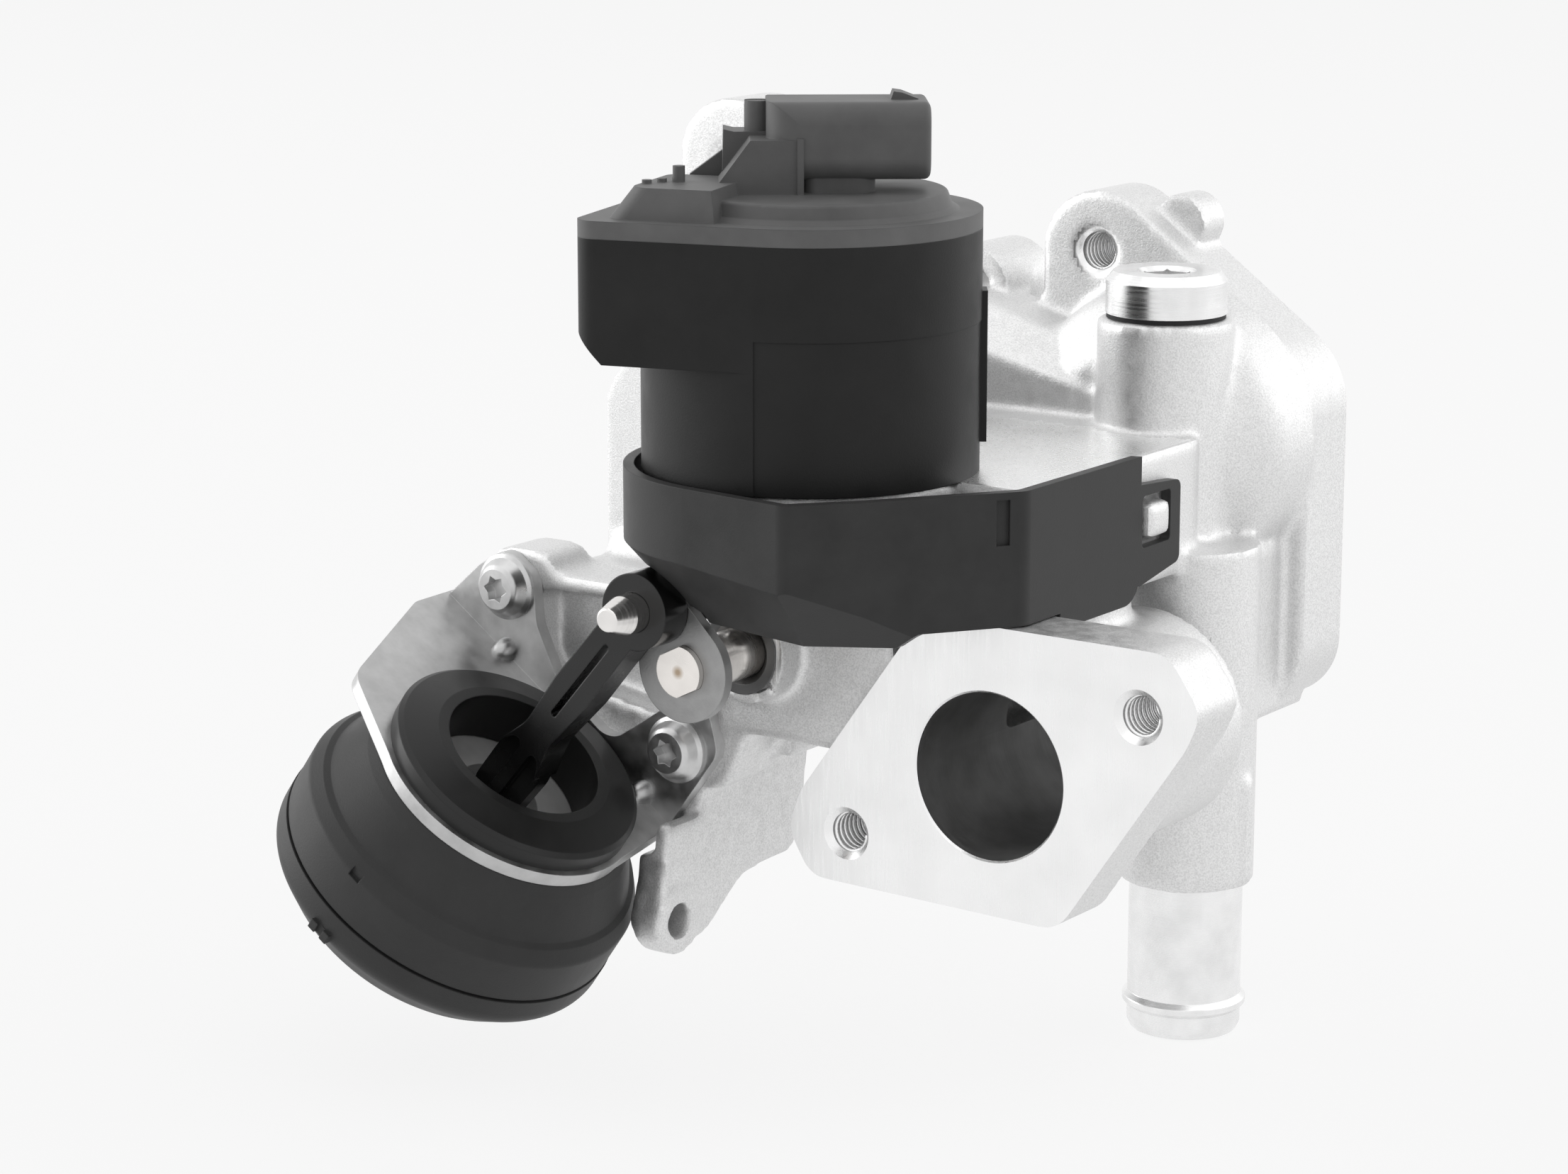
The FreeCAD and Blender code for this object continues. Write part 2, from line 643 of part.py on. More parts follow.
def make_plug_seal():
    inner = PLUG_THREAD_R + GAP
    return tube(PLUG_HEAD_R - 0.2, inner, point(PLUG_X, PLUG_Y, PLUG_BOSS_TOP),
                point(PLUG_X, PLUG_Y, PLUG_BOSS_TOP + PLUG_SEAL_T))


# Actuator, in the lobe's frame until it is placed

def actuator_plan(inset, low, high, lobe_low=None):
    """round body with its gear lobe, each wall moved inwards by inset"""
    lobe_low = low if lobe_low is None else lobe_low
    corner = max(LOBE_CORNER - inset, 0.5)
    wide = LOBE_X - inset
    depth = BODY_R - inset
    corners = [(0, LOBE_BACK + inset), (wide, LOBE_BACK + inset, corner), (wide, depth, corner), (0, depth)]
    lobe = slab(corners, plan(lobe_low), UP * (high - lobe_low))
    return post(BODY_R - inset, 0, 0, low, high).fuse(lobe)


def lobe_chamfer(inset):
    """what the sloping underside of the lobe's end takes away"""
    low = LOBE_BOTTOM + inset - 1
    wide = LOBE_X - inset
    slope = LOBE_CHAMFER
    corners = [(wide - slope - 0.93, low), (wide + 1, low), (wide + 1, low + slope + 2.06)]
    return slab(corners, front(LOBE_BACK - 1), BACK * (BODY_R - LOBE_BACK + 2))


def cavity():
    inset = BODY_WALL
    space = actuator_plan(inset, FLOOR_Z, BODY_TOP + 1, LOBE_BOTTOM + inset)
    return space.cut(lobe_chamfer(inset))


def plate_ledge():
    ring = tube(BODY_R - BODY_WALL + 0.2, BODY_R - BODY_WALL - 1.6, point(0, 0, PLATE_BOTTOM - 2.5),
                point(0, 0, PLATE_BOTTOM))
    return ring.cut(post(CAN_R + GAP, MOTOR_AT[0], MOTOR_AT[1], PLATE_BOTTOM - 3, PLATE_BOTTOM + 1))


def groove(inset, width, low, high):
    return actuator_plan(inset, low, high).cut(actuator_plan(inset + width, low - 1, high + 1))


def make_actuator_body():
    body = actuator_plan(0, DECK_Z, BODY_TOP, LOBE_BOTTOM).cut(lobe_chamfer(0))
    body = body.cut(cavity()).fuse(plate_ledge())
    cuts = [groove(0.65, 1.1, BODY_TOP - 0.8, BODY_TOP + 1)]
    cuts.append(post(GUIDE_R + GAP, STEM_AT[0], STEM_AT[1], DECK_Z - 1, FLOOR_Z + 1))
    cuts.append(tube(SEAL_RING_R, SEAL_RING_R - SEAL_RING_W, point(*STEM_AT, DECK_Z - 1),
                     point(*STEM_AT, DECK_Z + SEAL_RING_T)))
    cuts.append(wall_step())
    for angle in SCREW_ANGLES:
        dx, dy = polar(SCREW_CIRCLE, angle - LOBE_TURN)
        cuts.append(post(SCREW_R + GAP, dx, dy, DECK_Z - 1, FLOOR_Z + 1))
    pin_x, pin_y = guide_pin_spot()
    cuts.append(post(GUIDE_PIN_R, pin_x, pin_y, GUIDE_PIN_FOOT, FLOOR_Z + 1))
    rib = block(point(BODY_R - 0.6, -2.5, 51), point(BODY_R + 0.8, 2.5, 76))
    rib = turn_about(rib, 35.4 - LOBE_TURN)
    return body.cut(joined(cuts)).fuse(rib)


def wall_step():
    """thin layer off the lower wall, on the half that faces away from the lobe"""
    layer = tube(BODY_R + 1, BODY_R - STEP_IN, point(0, 0, DECK_Z - 1), point(0, 0, STEP_Z))
    return layer.cut(block(point(0, -BODY_R - 2, DECK_Z - 2), point(BODY_R + 2, BODY_R + 2, STEP_Z + 1)))


def make_lid_seal():
    return groove(0.65 + SEAL_FIT, 1.0, BODY_TOP - 0.8, BODY_TOP)


def make_actuator_seal():
    inner = SEAL_RING_R - SEAL_RING_W + SEAL_FIT
    return tube(SEAL_RING_R - SEAL_FIT, inner, point(*STEM_AT, DECK_Z),
                point(*STEM_AT, DECK_Z + SEAL_RING_T))


def make_actuator_screws():
    screws = []
    for angle in SCREW_ANGLES:
        dx, dy = polar(SCREW_CIRCLE, angle - LOBE_TURN)
        profile = [(0, DECK_Z - SCREW_DEPTH), (SCREW_R, DECK_Z - SCREW_DEPTH), (SCREW_R, FLOOR_Z),
                   (SCREW_HEAD_R, FLOOR_Z), (SCREW_HEAD_R, FLOOR_Z + SCREW_HEAD_H - 0.6),
                   (SCREW_HEAD_R - 0.6, FLOOR_Z + SCREW_HEAD_H), (0, FLOOR_Z + SCREW_HEAD_H)]
        screw = turned(profile, point(dx, dy))
        socket = Part.Face(hexagon(4.0, (dx, dy), FLOOR_Z + SCREW_HEAD_H - 2.5)).extrude(UP * 3)
        screws.append(screw.cut(socket))
    return group(screws)


def guide_pin_spot():
    """outwards from the stem, away from the actuator's axis, in the lobe's frame"""
    reach = math.hypot(*STEM_AT)
    return tuple(value * (1 + GUIDE_PIN_OFFSET / reach) for value in STEM_AT)


# Lid

def plateau():
    """raised top of the lid, over the round body and over the lobe"""
    dome = turned([(0, RIM_TOP - 1), (PLATEAU_R + 1.2, RIM_TOP - 1), (PLATEAU_R + 1.2, RIM_TOP),
                   (PLATEAU_R, RIM_TOP + 0.8), (PLATEAU_R - 0.9, PLATEAU_TOP, 0.8), (0, PLATEAU_TOP)])
    low_wing = slab([(0, RIM_TOP - 1), (26.6, RIM_TOP - 1), (26.6, RIM_TOP), (23.6, PLATEAU_TOP - 0.6),
                     (0, PLATEAU_TOP - 0.6)],
                    front(-10.5), BACK * 20)
    layers = []
    for left, right, near, z in ((7.4, 26.8, 25.2, RIM_TOP - 0.5), (8.4, 22.6, 24.0, WING_TOP)):
        layers.append(outline([(left, 5), (right, 5, 2), (right, near, 3.5), (left, near)], plan(z)))
    wing = Part.makeLoft(layers, True, True)
    return [dome, low_wing, wing]


def connector_frame(shape):
    """from the connector's frame, X towards its open end, into the lobe's frame"""
    return turn_about(shape, PLUG_TURN - LOBE_TURN)


def shell_outline(inset, x):
    half = SHELL_W / 2 - inset
    low = SHELL_BOTTOM + inset
    high = SHELL_BOTTOM + SHELL_H - inset
    corner = SHELL_CORNER - inset
    corners = [(-half, low, corner), (half, low, corner), (half, high, corner), (-half, high, corner)]
    return Part.Face(outline(corners, side(x)))


def connector_shell():
    half = SHELL_W / 2
    top = SHELL_BOTTOM + SHELL_H
    shell = shell_outline(0, SHELL_START).extrude(RIGHT * (SHELL_END - SHELL_START))
    shoulders = [(SHELL_START, -half, SHELL_SHOULDER), (SHELL_END + 1, -half), (SHELL_END + 1, half),
                 (SHELL_START, half, SHELL_SHOULDER)]
    shell = shell.common(slab(shoulders, plan(SHELL_BOTTOM - 1), UP * (SHELL_H + 2)))
    lip = [edge for edge in shell.Edges if edge.BoundBox.XMin > SHELL_END - 0.01]
    shell = shell.makeFillet(SHELL_WALL * 0.7, lip)
    latch = slab([(12.4, top - 1), (17.2, top - 1), (17.2, top + 0.1), (14.6, top + 1.1),
                  (13.2, top + 1.3)],
                 front(-2.6), BACK * 5.2)
    pedestal = slab([(TOWER_END, -7, 2), (10.2, -7, 3), (10.2, 7, 3), (TOWER_END, 7, 2)], plan(RIM_TOP),
                    UP * (SHELL_BOTTOM + 1 - RIM_TOP))
    return [shell, latch, pedestal]


def connector_hollow():
    return shell_outline(SHELL_WALL, SOCKET_START).extrude(RIGHT * 30)


def tower():
    """stepped wedge between the plateau and the connector, with a short mast on it"""
    near = -SHELL_W / 2
    wedge = slab([(-16.6, RIM_TOP), (-15.1, WING_TOP), (-10.1, TOWER_FRONT_TOP),
                  (TOWER_END, TOWER_FRONT_TOP),
                  (TOWER_END, RIM_TOP)], front(near), BACK * 9)
    band = block(point(TOWER_END - 1.1, near - 0.5, RIM_TOP),
                 point(TOWER_END, near + 1, TOWER_FRONT_TOP + 0.3))
    crown = slab([(-14.6, RIM_TOP), (-14.3, TOWER_BACK_TOP + 0.4), (-12.6, TOWER_BACK_TOP),
                  (TOWER_END, TOWER_BACK_TOP),
                  (TOWER_END, RIM_TOP)], front(-1), BACK * 7)
    rib = slab([(-21.2, RIM_TOP), (-19.7, WING_TOP), (-14.3, 98.5), (-12, 98.5), (-12, RIM_TOP)],
               front(3.0), BACK * 1.4)
    mast = post(2.1, -8.8, 1.6, TOWER_BACK_TOP - 1, MAST_TOP)
    mast = mast.cut(block(point(-12, 1.1, MAST_TOP - 0.7), point(-6, 2.1, MAST_TOP + 1)))
    return [wedge, band, crown, rib, mast]


def make_actuator_lid():
    rim = actuator_plan(0, BODY_TOP, RIM_TOP)
    small_pin = post(1.0, 17.5, 14.5, WING_TOP - 1, WING_TOP + 2.6)
    nubs = [post(0.8, 21.6 - 1.6 * i, 18.2 - 2.6 * i, WING_TOP - 1, WING_TOP + 0.6) for i in range(3)]
    added = [rim] + plateau() + [small_pin] + nubs
    added += [connector_frame(shape) for shape in connector_shell() + tower()]
    hollow = actuator_plan(BODY_WALL + 1.2, BODY_TOP - 1, RIM_TOP - LID_WALL)
    inner = post(PLATEAU_R - 3.2, 0, 0, BODY_TOP - 1, PLATEAU_TOP - LID_WALL)
    board_bed = block(point(-8, -6.5, RIM_TOP - LID_WALL), point(8, 6.5, PLATEAU_TOP))
    board_bed.translate(point(*STEM_AT))
    inner = inner.cut(board_bed)
    return joined(added).cut(joined([hollow, inner, connector_frame(connector_hollow())]))


def make_connector_pins():
    pins = []
    height = SHELL_BOTTOM + SHELL_H / 2
    for i in range(PIN_COUNT):
        y = (i - (PIN_COUNT - 1) / 2) * PIN_PITCH
        pin = block(point(SOCKET_START, y - 0.4, height - 0.8),
                    point(SHELL_END - 10, y + 0.4, height + 0.8))
        pins.append(connector_frame(pin))
    return group(pins)


# Gear train and motor, in the lobe's frame

def tooth_half_angle(radius, teeth):
    """half of a tooth's angle at that radius, on an involute of 20 degrees"""
    pitch = MODULE * teeth / 2
    base = pitch * math.cos(math.radians(20))

    def involute(r):
        slope = math.acos(min(base / r, 1.0))
        return math.tan(slope) - slope
    return math.pi / (2 * teeth) - BACKLASH / (2 * pitch) + involute(pitch) - involute(max(radius, base))


def gear_blank(teeth, phase, addendum, low, high, centre):
    """toothed disc with a tooth pointing along phase"""
    pitch = MODULE * teeth / 2
    root = pitch - 1.2 * MODULE
    base = pitch * math.cos(math.radians(20))
    tip = pitch + addendum * MODULE
    radii = (root, tip) if root > base - 0.3 else (root, base, tip)
    rim = []
    for i in range(teeth):
        middle = math.radians(phase) + 2 * math.pi * i / teeth
        for radius in radii:
            turn = middle - tooth_half_angle(radius, teeth)
            rim.append((centre[0] + radius * math.cos(turn), centre[1] + radius * math.sin(turn)))
        for radius in reversed(radii):
            turn = middle + tooth_half_angle(radius, teeth)
            rim.append((centre[0] + radius * math.cos(turn), centre[1] + radius * math.sin(turn)))
    return slab(rim, plan(low), UP * (high - low))


def bearing_of(start, end):
    return math.degrees(math.atan2(end[1] - start[1], end[0] - start[0]))


def make_output_gear():
    toward = bearing_of(STEM_AT, IDLER_AT)
    wheel = gear_blank(OUTPUT_TEETH, toward, WHEEL_TIP, OUTPUT_Z, OUTPUT_Z + OUTPUT_H, STEM_AT)
    web = tube(12.6, HUB_R + 2, point(*STEM_AT, OUTPUT_Z + 1.6), point(*STEM_AT, OUTPUT_Z + OUTPUT_H + 1))
    hub_low = RETAINER_Z + RETAINER_T + LIFT + 0.6
    hub = post(HUB_R, *STEM_AT, hub_low, OUTPUT_Z + 1)
    top = post(HUB_R - 0.6, *STEM_AT, OUTPUT_Z, OUTPUT_Z + OUTPUT_H + LAYER_GAP)
    bore = post(SPINDLE_R + FIT, *STEM_AT, hub_low - 1, OUTPUT_Z + OUTPUT_H - 0.8)
    return joined([wheel.cut(web), hub, top]).cut(bore)


def make_sensor_magnet():
    low = OUTPUT_Z + OUTPUT_H + LAYER_GAP
    return post(HUB_R - 0.9, *STEM_AT, low, low + 2.2)


def make_idler_gear():
    toward_stem = bearing_of(IDLER_AT, STEM_AT)
    toward_motor = bearing_of(IDLER_AT, MOTOR_AT)
    small = gear_blank(IDLER_TEETH, toward_stem + 180 / IDLER_TEETH, PINION_TIP, OUTPUT_Z, WHEEL_Z + 0.5,
                       IDLER_AT)
    wheel = gear_blank(WHEEL_TEETH, toward_motor, WHEEL_TIP, WHEEL_Z, WHEEL_Z + WHEEL_H, IDLER_AT)
    web = tube(11.4, 6.0, point(*IDLER_AT, WHEEL_Z + 1.6), point(*IDLER_AT, WHEEL_Z + WHEEL_H + 1))
    foot = post(3.0, *IDLER_AT, PLATE_TOP + 0.1, OUTPUT_Z + 0.5)
    bore = post(AXLE_R + FIT, *IDLER_AT, PLATE_TOP - 1, WHEEL_Z + WHEEL_H + 1)
    return joined([small, wheel.cut(web), foot]).cut(bore)


def make_idler_pin():
    return post(AXLE_R, *IDLER_AT, PLATE_BOTTOM, WHEEL_Z + WHEEL_H + 0.8)


def make_motor_pinion():
    toward = bearing_of(MOTOR_AT, IDLER_AT)
    teeth = gear_blank(MOTOR_TEETH, toward + 180 / MOTOR_TEETH, PINION_TIP, WHEEL_Z - 0.4,
                       WHEEL_Z + WHEEL_H, MOTOR_AT)
    return teeth.cut(post(SHAFT_R, *MOTOR_AT, WHEEL_Z - 1, WHEEL_Z + WHEEL_H + 1))


def make_gear_plate():
    disc = post(BODY_R - BODY_WALL - PLATE_GAP, 0, 0, PLATE_BOTTOM, PLATE_TOP)
    pin_x, pin_y = guide_pin_spot()
    cuts = [post(BUSH_R, *STEM_AT, PLATE_BOTTOM - 1, PLATE_TOP + 1)]
    cuts.append(post(MOTOR_BUSH_R, *MOTOR_AT, PLATE_BOTTOM - 1, PLATE_TOP + 1))
    cuts.append(post(AXLE_R, *IDLER_AT, PLATE_BOTTOM - 1, PLATE_TOP + 1))
    cuts.append(post(GUIDE_PIN_R, pin_x, pin_y, PLATE_BOTTOM - 1, PLATE_BOTTOM + 2))
    return disc.cut(joined(cuts))


def make_gear_bearing():
    """flanged bush that the output gear's hub turns in; its underside also holds the valve spring"""
    profile = [(HUB_R + FIT, PLATE_BOTTOM), (BUSH_R, PLATE_BOTTOM), (BUSH_R, PLATE_TOP),
               (BUSH_R + 0.4, PLATE_TOP),
               (BUSH_R + 0.4, PLATE_TOP + BUSH_RIM), (HUB_R + FIT, PLATE_TOP + BUSH_RIM)]
    return turned(profile, point(*STEM_AT))


def make_guide_pin():
    pin_x, pin_y = guide_pin_spot()
    return post(GUIDE_PIN_R, pin_x, pin_y, GUIDE_PIN_FOOT, PLATE_BOTTOM + 2)


def make_motor_can():
    top = PLATE_BOTTOM
    profile = [(SHAFT_R + 0.6, FLOOR_Z), (CAN_R - 1, FLOOR_Z), (CAN_R, FLOOR_Z + 1), (CAN_R, top),
               (CAN_R - CAN_WALL, top), (CAN_R - CAN_WALL, FLOOR_Z + CAN_WALL),
               (MOTOR_BUSH_R + CAN_WALL, FLOOR_Z + CAN_WALL),
               (MOTOR_BUSH_R + CAN_WALL, FLOOR_Z + CAN_WALL + 2.5),
               (MOTOR_BUSH_R, FLOOR_Z + CAN_WALL + 2.5), (MOTOR_BUSH_R, FLOOR_Z + CAN_WALL),
               (SHAFT_R + 0.6, FLOOR_Z + CAN_WALL)]
    return turned(profile, point(*MOTOR_AT))


def make_motor_magnets():
    outer = CAN_R - CAN_WALL
    ring = tube(outer, outer - MAGNET_T, point(*MOTOR_AT, FLOOR_Z + 4.5),
                point(*MOTOR_AT, PLATE_BOTTOM - 5.5))
    split = block(point(-20, -3, FLOOR_Z), point(20, 3, PLATE_BOTTOM))
    split.translate(point(*MOTOR_AT))
    return group(ring.cut(split).Solids)


def make_motor_rotor():
    """shaft, slotted armature and commutator"""
    shaft = post(SHAFT_R, *MOTOR_AT, FLOOR_Z + CAN_WALL + 0.4, WHEEL_Z + WHEEL_H)
    core = post(ROTOR_R, *MOTOR_AT, FLOOR_Z + 5.5, PLATE_BOTTOM - 6.5)
    commutator = post(3.6, *MOTOR_AT, PLATE_BOTTOM - 6.5, PLATE_BOTTOM - 0.8)
    slots = []
    for i in range(5):
        slot = block(point(4.6, -0.7, FLOOR_Z + 5), point(ROTOR_R + 1, 0.7, PLATE_BOTTOM - 6))
        slots.append(turn_about(slot, 72 * i, *MOTOR_AT))
    return joined([core.cut(joined(slots)), shaft, commutator])


def make_motor_bearings():
    low = tube(MOTOR_BUSH_R - 0.02, SHAFT_R + FIT, point(*MOTOR_AT, FLOOR_Z + CAN_WALL),
               point(*MOTOR_AT, FLOOR_Z + CAN_WALL + 2.5))
    high = tube(MOTOR_BUSH_R - 0.02, SHAFT_R + FIT, point(*MOTOR_AT, PLATE_BOTTOM),
                point(*MOTOR_AT, PLATE_TOP))
    return group([low, high])


def make_brush_card():
    """carrier plate with two carbon brushes that reach for the commutator"""
    low = PLATE_BOTTOM - 2.6
    card = tube(CAN_R - CAN_WALL, 5.2, point(*MOTOR_AT, low), point(*MOTOR_AT, low + 1.6))
    pieces = [card]
    for turn in (0, 180):
        brush = block(point(3.6 + FIT, -1.5, low - 2), point(8.5, 1.5, low + 0.5))
        pieces.append(turn_about(brush, turn, *MOTOR_AT))
    return joined(pieces)


def make_sensor_board():
    low = RIM_TOP - LID_WALL - 1.2
    board = block(point(-7.5, -6, low), point(7.5, 6, low + 1.2))
    chip = block(point(-2.5, -2.5, low - 1.0), point(2.5, 2.5, low + 0.1))
    placed = board.fuse(chip)
    placed.translate(point(*STEM_AT))
    return placed


# Valve, in the world frame

def make_valve_seat():
    low = SEAT_Z - SEAT_H
    profile = [(SEAT_BORE, low), (SEAT_R - 0.02, low), (SEAT_R - 0.02, SEAT_Z), (SEAT_BORE + 0.8, SEAT_Z),
               (SEAT_BORE, SEAT_Z - 0.8)]
    return turned(profile, point(STEM_X, STEM_Y))


def make_valve_poppet():
    top = SEAT_Z + POPPET_T
    profile = [(0, SEAT_Z), (POPPET_R, SEAT_Z), (POPPET_R, top), (6, top + 0.6, 2), (STEM_R + 1, top + 3.5),
               (0, top + 3.5)]
    return turned(profile, point(STEM_X, STEM_Y))


def make_valve_stem():
    low = SEAT_Z + POPPET_T + 3.5
    spindle_low = RETAINER_Z + RETAINER_T
    top = OUTPUT_Z + OUTPUT_H - 0.8 - LIFT - 0.6
    profile = [(0, low), (STEM_R, low), (STEM_R, spindle_low), (SPINDLE_R, spindle_low),
               (SPINDLE_R, top - 0.6),
               (SPINDLE_R - 0.6, top), (0, top)]
    return turned(profile, point(STEM_X, STEM_Y))


def make_stem_guide():
    low = CHAMBER_TOP + 0.5
    return tube(GUIDE_R, STEM_R + FIT, point(STEM_X, STEM_Y, low), point(STEM_X, STEM_Y, GUIDE_TOP))


def make_stem_seal():
    profile = [(STEM_R + FIT, GUIDE_TOP), (GUIDE_R + 0.6, GUIDE_TOP), (GUIDE_R + 0.6, GUIDE_TOP + 1.4),
               (STEM_R + 1.4, SEAL_TOP), (STEM_R + FIT, SEAL_TOP)]
    return turned(profile, point(STEM_X, STEM_Y))


def make_spring_retainer():
    """disc under the spring; its ear slides on the guide pin and keeps the stem from turning"""
    pin_x, pin_y = lobe_to_world(guide_pin_spot())
    disc = post(RETAINER_R, STEM_X, STEM_Y, RETAINER_Z, RETAINER_Z + RETAINER_T)
    ear = channel((STEM_X, STEM_Y), (pin_x, pin_y), 6.4, RETAINER_Z, RETAINER_Z + RETAINER_T)
    holes = [post(STEM_R, STEM_X, STEM_Y, RETAINER_Z - 1, RETAINER_Z + 3)]
    holes.append(post(GUIDE_PIN_R + FIT, pin_x, pin_y, RETAINER_Z - 1, RETAINER_Z + 3))
    return disc.fuse(ear).cut(joined(holes))


def coil_spring(radius, wire, coils, low, high):
    """helical spring with its axis on Z, between two heights, with six-sided wire and flat end turns"""
    half = wire / 2
    steps = SPRING_STEPS * (coils + 2)
    rise = high - low - 3 * wire
    sections = []
    for i in range(steps + 1):
        turns = i / SPRING_STEPS
        height = wire * (min(turns, 1) + max(turns - 1 - coils, 0)) + rise * min(max(turns - 1, 0),
                                                            coils) / coils
        corners = []
        for side_turn in range(6):
            out, up = polar(half, 60 * side_turn + 30)
            x, y = polar(radius + out, 360 * turns)
            corners.append(point(x, y, low + half + height + up))
        sections.append(Part.makePolygon(corners + corners[:1]))
    return Part.makeLoft(sections, True, True)


def make_valve_spring():
    low = RETAINER_Z + RETAINER_T
    spring = coil_spring(VALVE_SPRING_R, VALVE_WIRE, VALVE_COILS, low, PLATE_BOTTOM)
    spring.translate(point(STEM_X, STEM_Y))
    return spring


# Flap, shaft and lever

def shaft_flats(room):
    """slab of the shaft's end between its two flats, which lie along the lever"""
    half = SHAFT_FLATS / 2 + room
    keep = block(point(SHAFT_X - 6, LEVER_FRONT - 2, SHAFT_Z - half), point(SHAFT_X + 6, 0, SHAFT_Z + half))
    keep.rotate(point(SHAFT_X, 0, SHAFT_Z), BACK, 90 - LEVER_ANGLE)
    return keep


def make_flap_shaft():
    back = DUCT_Y + 19
    flat = DUCT_R - FLAP_EDGE
    shaft = rod(FLAP_SHAFT_R, point(SHAFT_X, LEVER_FRONT + LEVER_T, SHAFT_Z), point(SHAFT_X, back, SHAFT_Z))
    end = rod(FLAP_SHAFT_R, point(SHAFT_X, LEVER_FRONT - 1.2, SHAFT_Z),
              point(SHAFT_X, LEVER_FRONT + LEVER_T, SHAFT_Z))
    keep = shaft_flats(0.0)
    bed = block(point(SHAFT_X, DUCT_Y - flat, SHAFT_Z - 5), point(SHAFT_X + 5, DUCT_Y + flat, SHAFT_Z + 5))
    threads = [rod(1.5, point(SHAFT_X - 5, DUCT_Y + dy, SHAFT_Z), point(SHAFT_X + 5, DUCT_Y + dy, SHAFT_Z))
               for dy in (-FLAP_SCREW_Y, FLAP_SCREW_Y)]
    return joined([shaft, end.common(keep)]).cut(joined([bed] + threads))


def make_bypass_flap():
    radius = math.sqrt((DUCT_R - FLAP_EDGE)**2 - FLAP_T**2)
    disc = rod(radius, point(SHAFT_X, DUCT_Y, SHAFT_Z), point(SHAFT_X + FLAP_T, DUCT_Y, SHAFT_Z))
    holes = [rod(1.6, point(SHAFT_X - 1, DUCT_Y + dy, SHAFT_Z), point(SHAFT_X + 5, DUCT_Y + dy, SHAFT_Z))
             for dy in (-FLAP_SCREW_Y, FLAP_SCREW_Y)]
    return disc.cut(joined(holes))


def make_flap_screws():
    screws = []
    for dy in (-FLAP_SCREW_Y, FLAP_SCREW_Y):
        profile = [(0, -3.6), (1.48, -3.6), (1.48, FLAP_T), (2.8, FLAP_T), (2.8, FLAP_T + 0.9),
                   (1.8, FLAP_T + 1.7),
                   (0, FLAP_T + 1.7)]
        screws.append(turned(profile, point(SHAFT_X, DUCT_Y + dy, SHAFT_Z), RIGHT))
    return group(screws)


def make_flap_bushes():
    front_end = DUCT_Y - DUCT_R
    back_start = DUCT_Y + DUCT_R
    bushes = []
    for low, high in ((8.0, front_end - 0.2), (back_start + 0.2, DUCT_Y + 20)):
        start = point(SHAFT_X, low, SHAFT_Z)
        bushes.append(tube(FLAP_BUSH_R - 0.02, FLAP_SHAFT_R + FIT, start, start + BACK * (high - low)))
    return group(bushes)


def make_shaft_seal():
    profile = [(FLAP_SHAFT_R + FIT, 1.0), (FLAP_SHAFT_R + 1.2, -0.2), (SHAFT_SEAL_R - 0.02, -0.2),
               (SHAFT_SEAL_R - 0.02, 8.0), (FLAP_SHAFT_R + FIT, 8.0)]
    return turned(profile, point(SHAFT_X, 0, SHAFT_Z), BACK)


def make_lever_plate():
    """round disc that runs out to the pin in a teardrop"""
    start = point(SHAFT_X, LEVER_FRONT, SHAFT_Z)
    disc = rod(LEVER_R, start, start + BACK * LEVER_T)
    tip = point(PIN_X, LEVER_FRONT, PIN_Z)
    end = rod(LEVER_END_R, tip, tip + BACK * LEVER_T)
    slope = math.degrees(math.asin((LEVER_R - LEVER_END_R) / LEVER_ARM))
    corners = []
    for centre, radius, turns in (((0, 0), LEVER_R, (90 - slope, 270 + slope)),
                                  ((LEVER_ARM, 0), LEVER_END_R, (270 + slope, 90 - slope))):
        for turn in turns:
            dx, dz = polar(radius, turn)
            corners.append((centre[0] + dx, centre[1] + dz))
    web = slab(corners, front(0), BACK * LEVER_T)
    web.Placement = FreeCAD.Placement(start, FreeCAD.Rotation(BACK, -LEVER_ANGLE))
    hole = rod(FLAP_SHAFT_R + 0.02, start - BACK, start + BACK * (LEVER_T + 1))
    keep = shaft_flats(0.02)
    pin_hole = rod(LEVER_PIN_R - 0.6, tip - BACK, tip + BACK * (LEVER_T + 1))
    return joined([disc, end, web]).cut(joined([hole.common(keep), pin_hole]))


def make_lever_pin():
    back = LEVER_FRONT + LEVER_T
    neck = LEVER_PIN_R - 0.62
    profile = [(0, LEVER_PIN_TIP), (2.0, LEVER_PIN_TIP, 0.5), (LEVER_PIN_R, LEVER_PIN_TIP + 4.2),
               (LEVER_PIN_R, LEVER_FRONT), (neck, LEVER_FRONT), (neck, back), (LEVER_PIN_R, back),
               (LEVER_PIN_R - 0.6, back + 0.8), (0, back + 0.8)]
    return turned(profile, point(PIN_X, 0, PIN_Z), BACK)


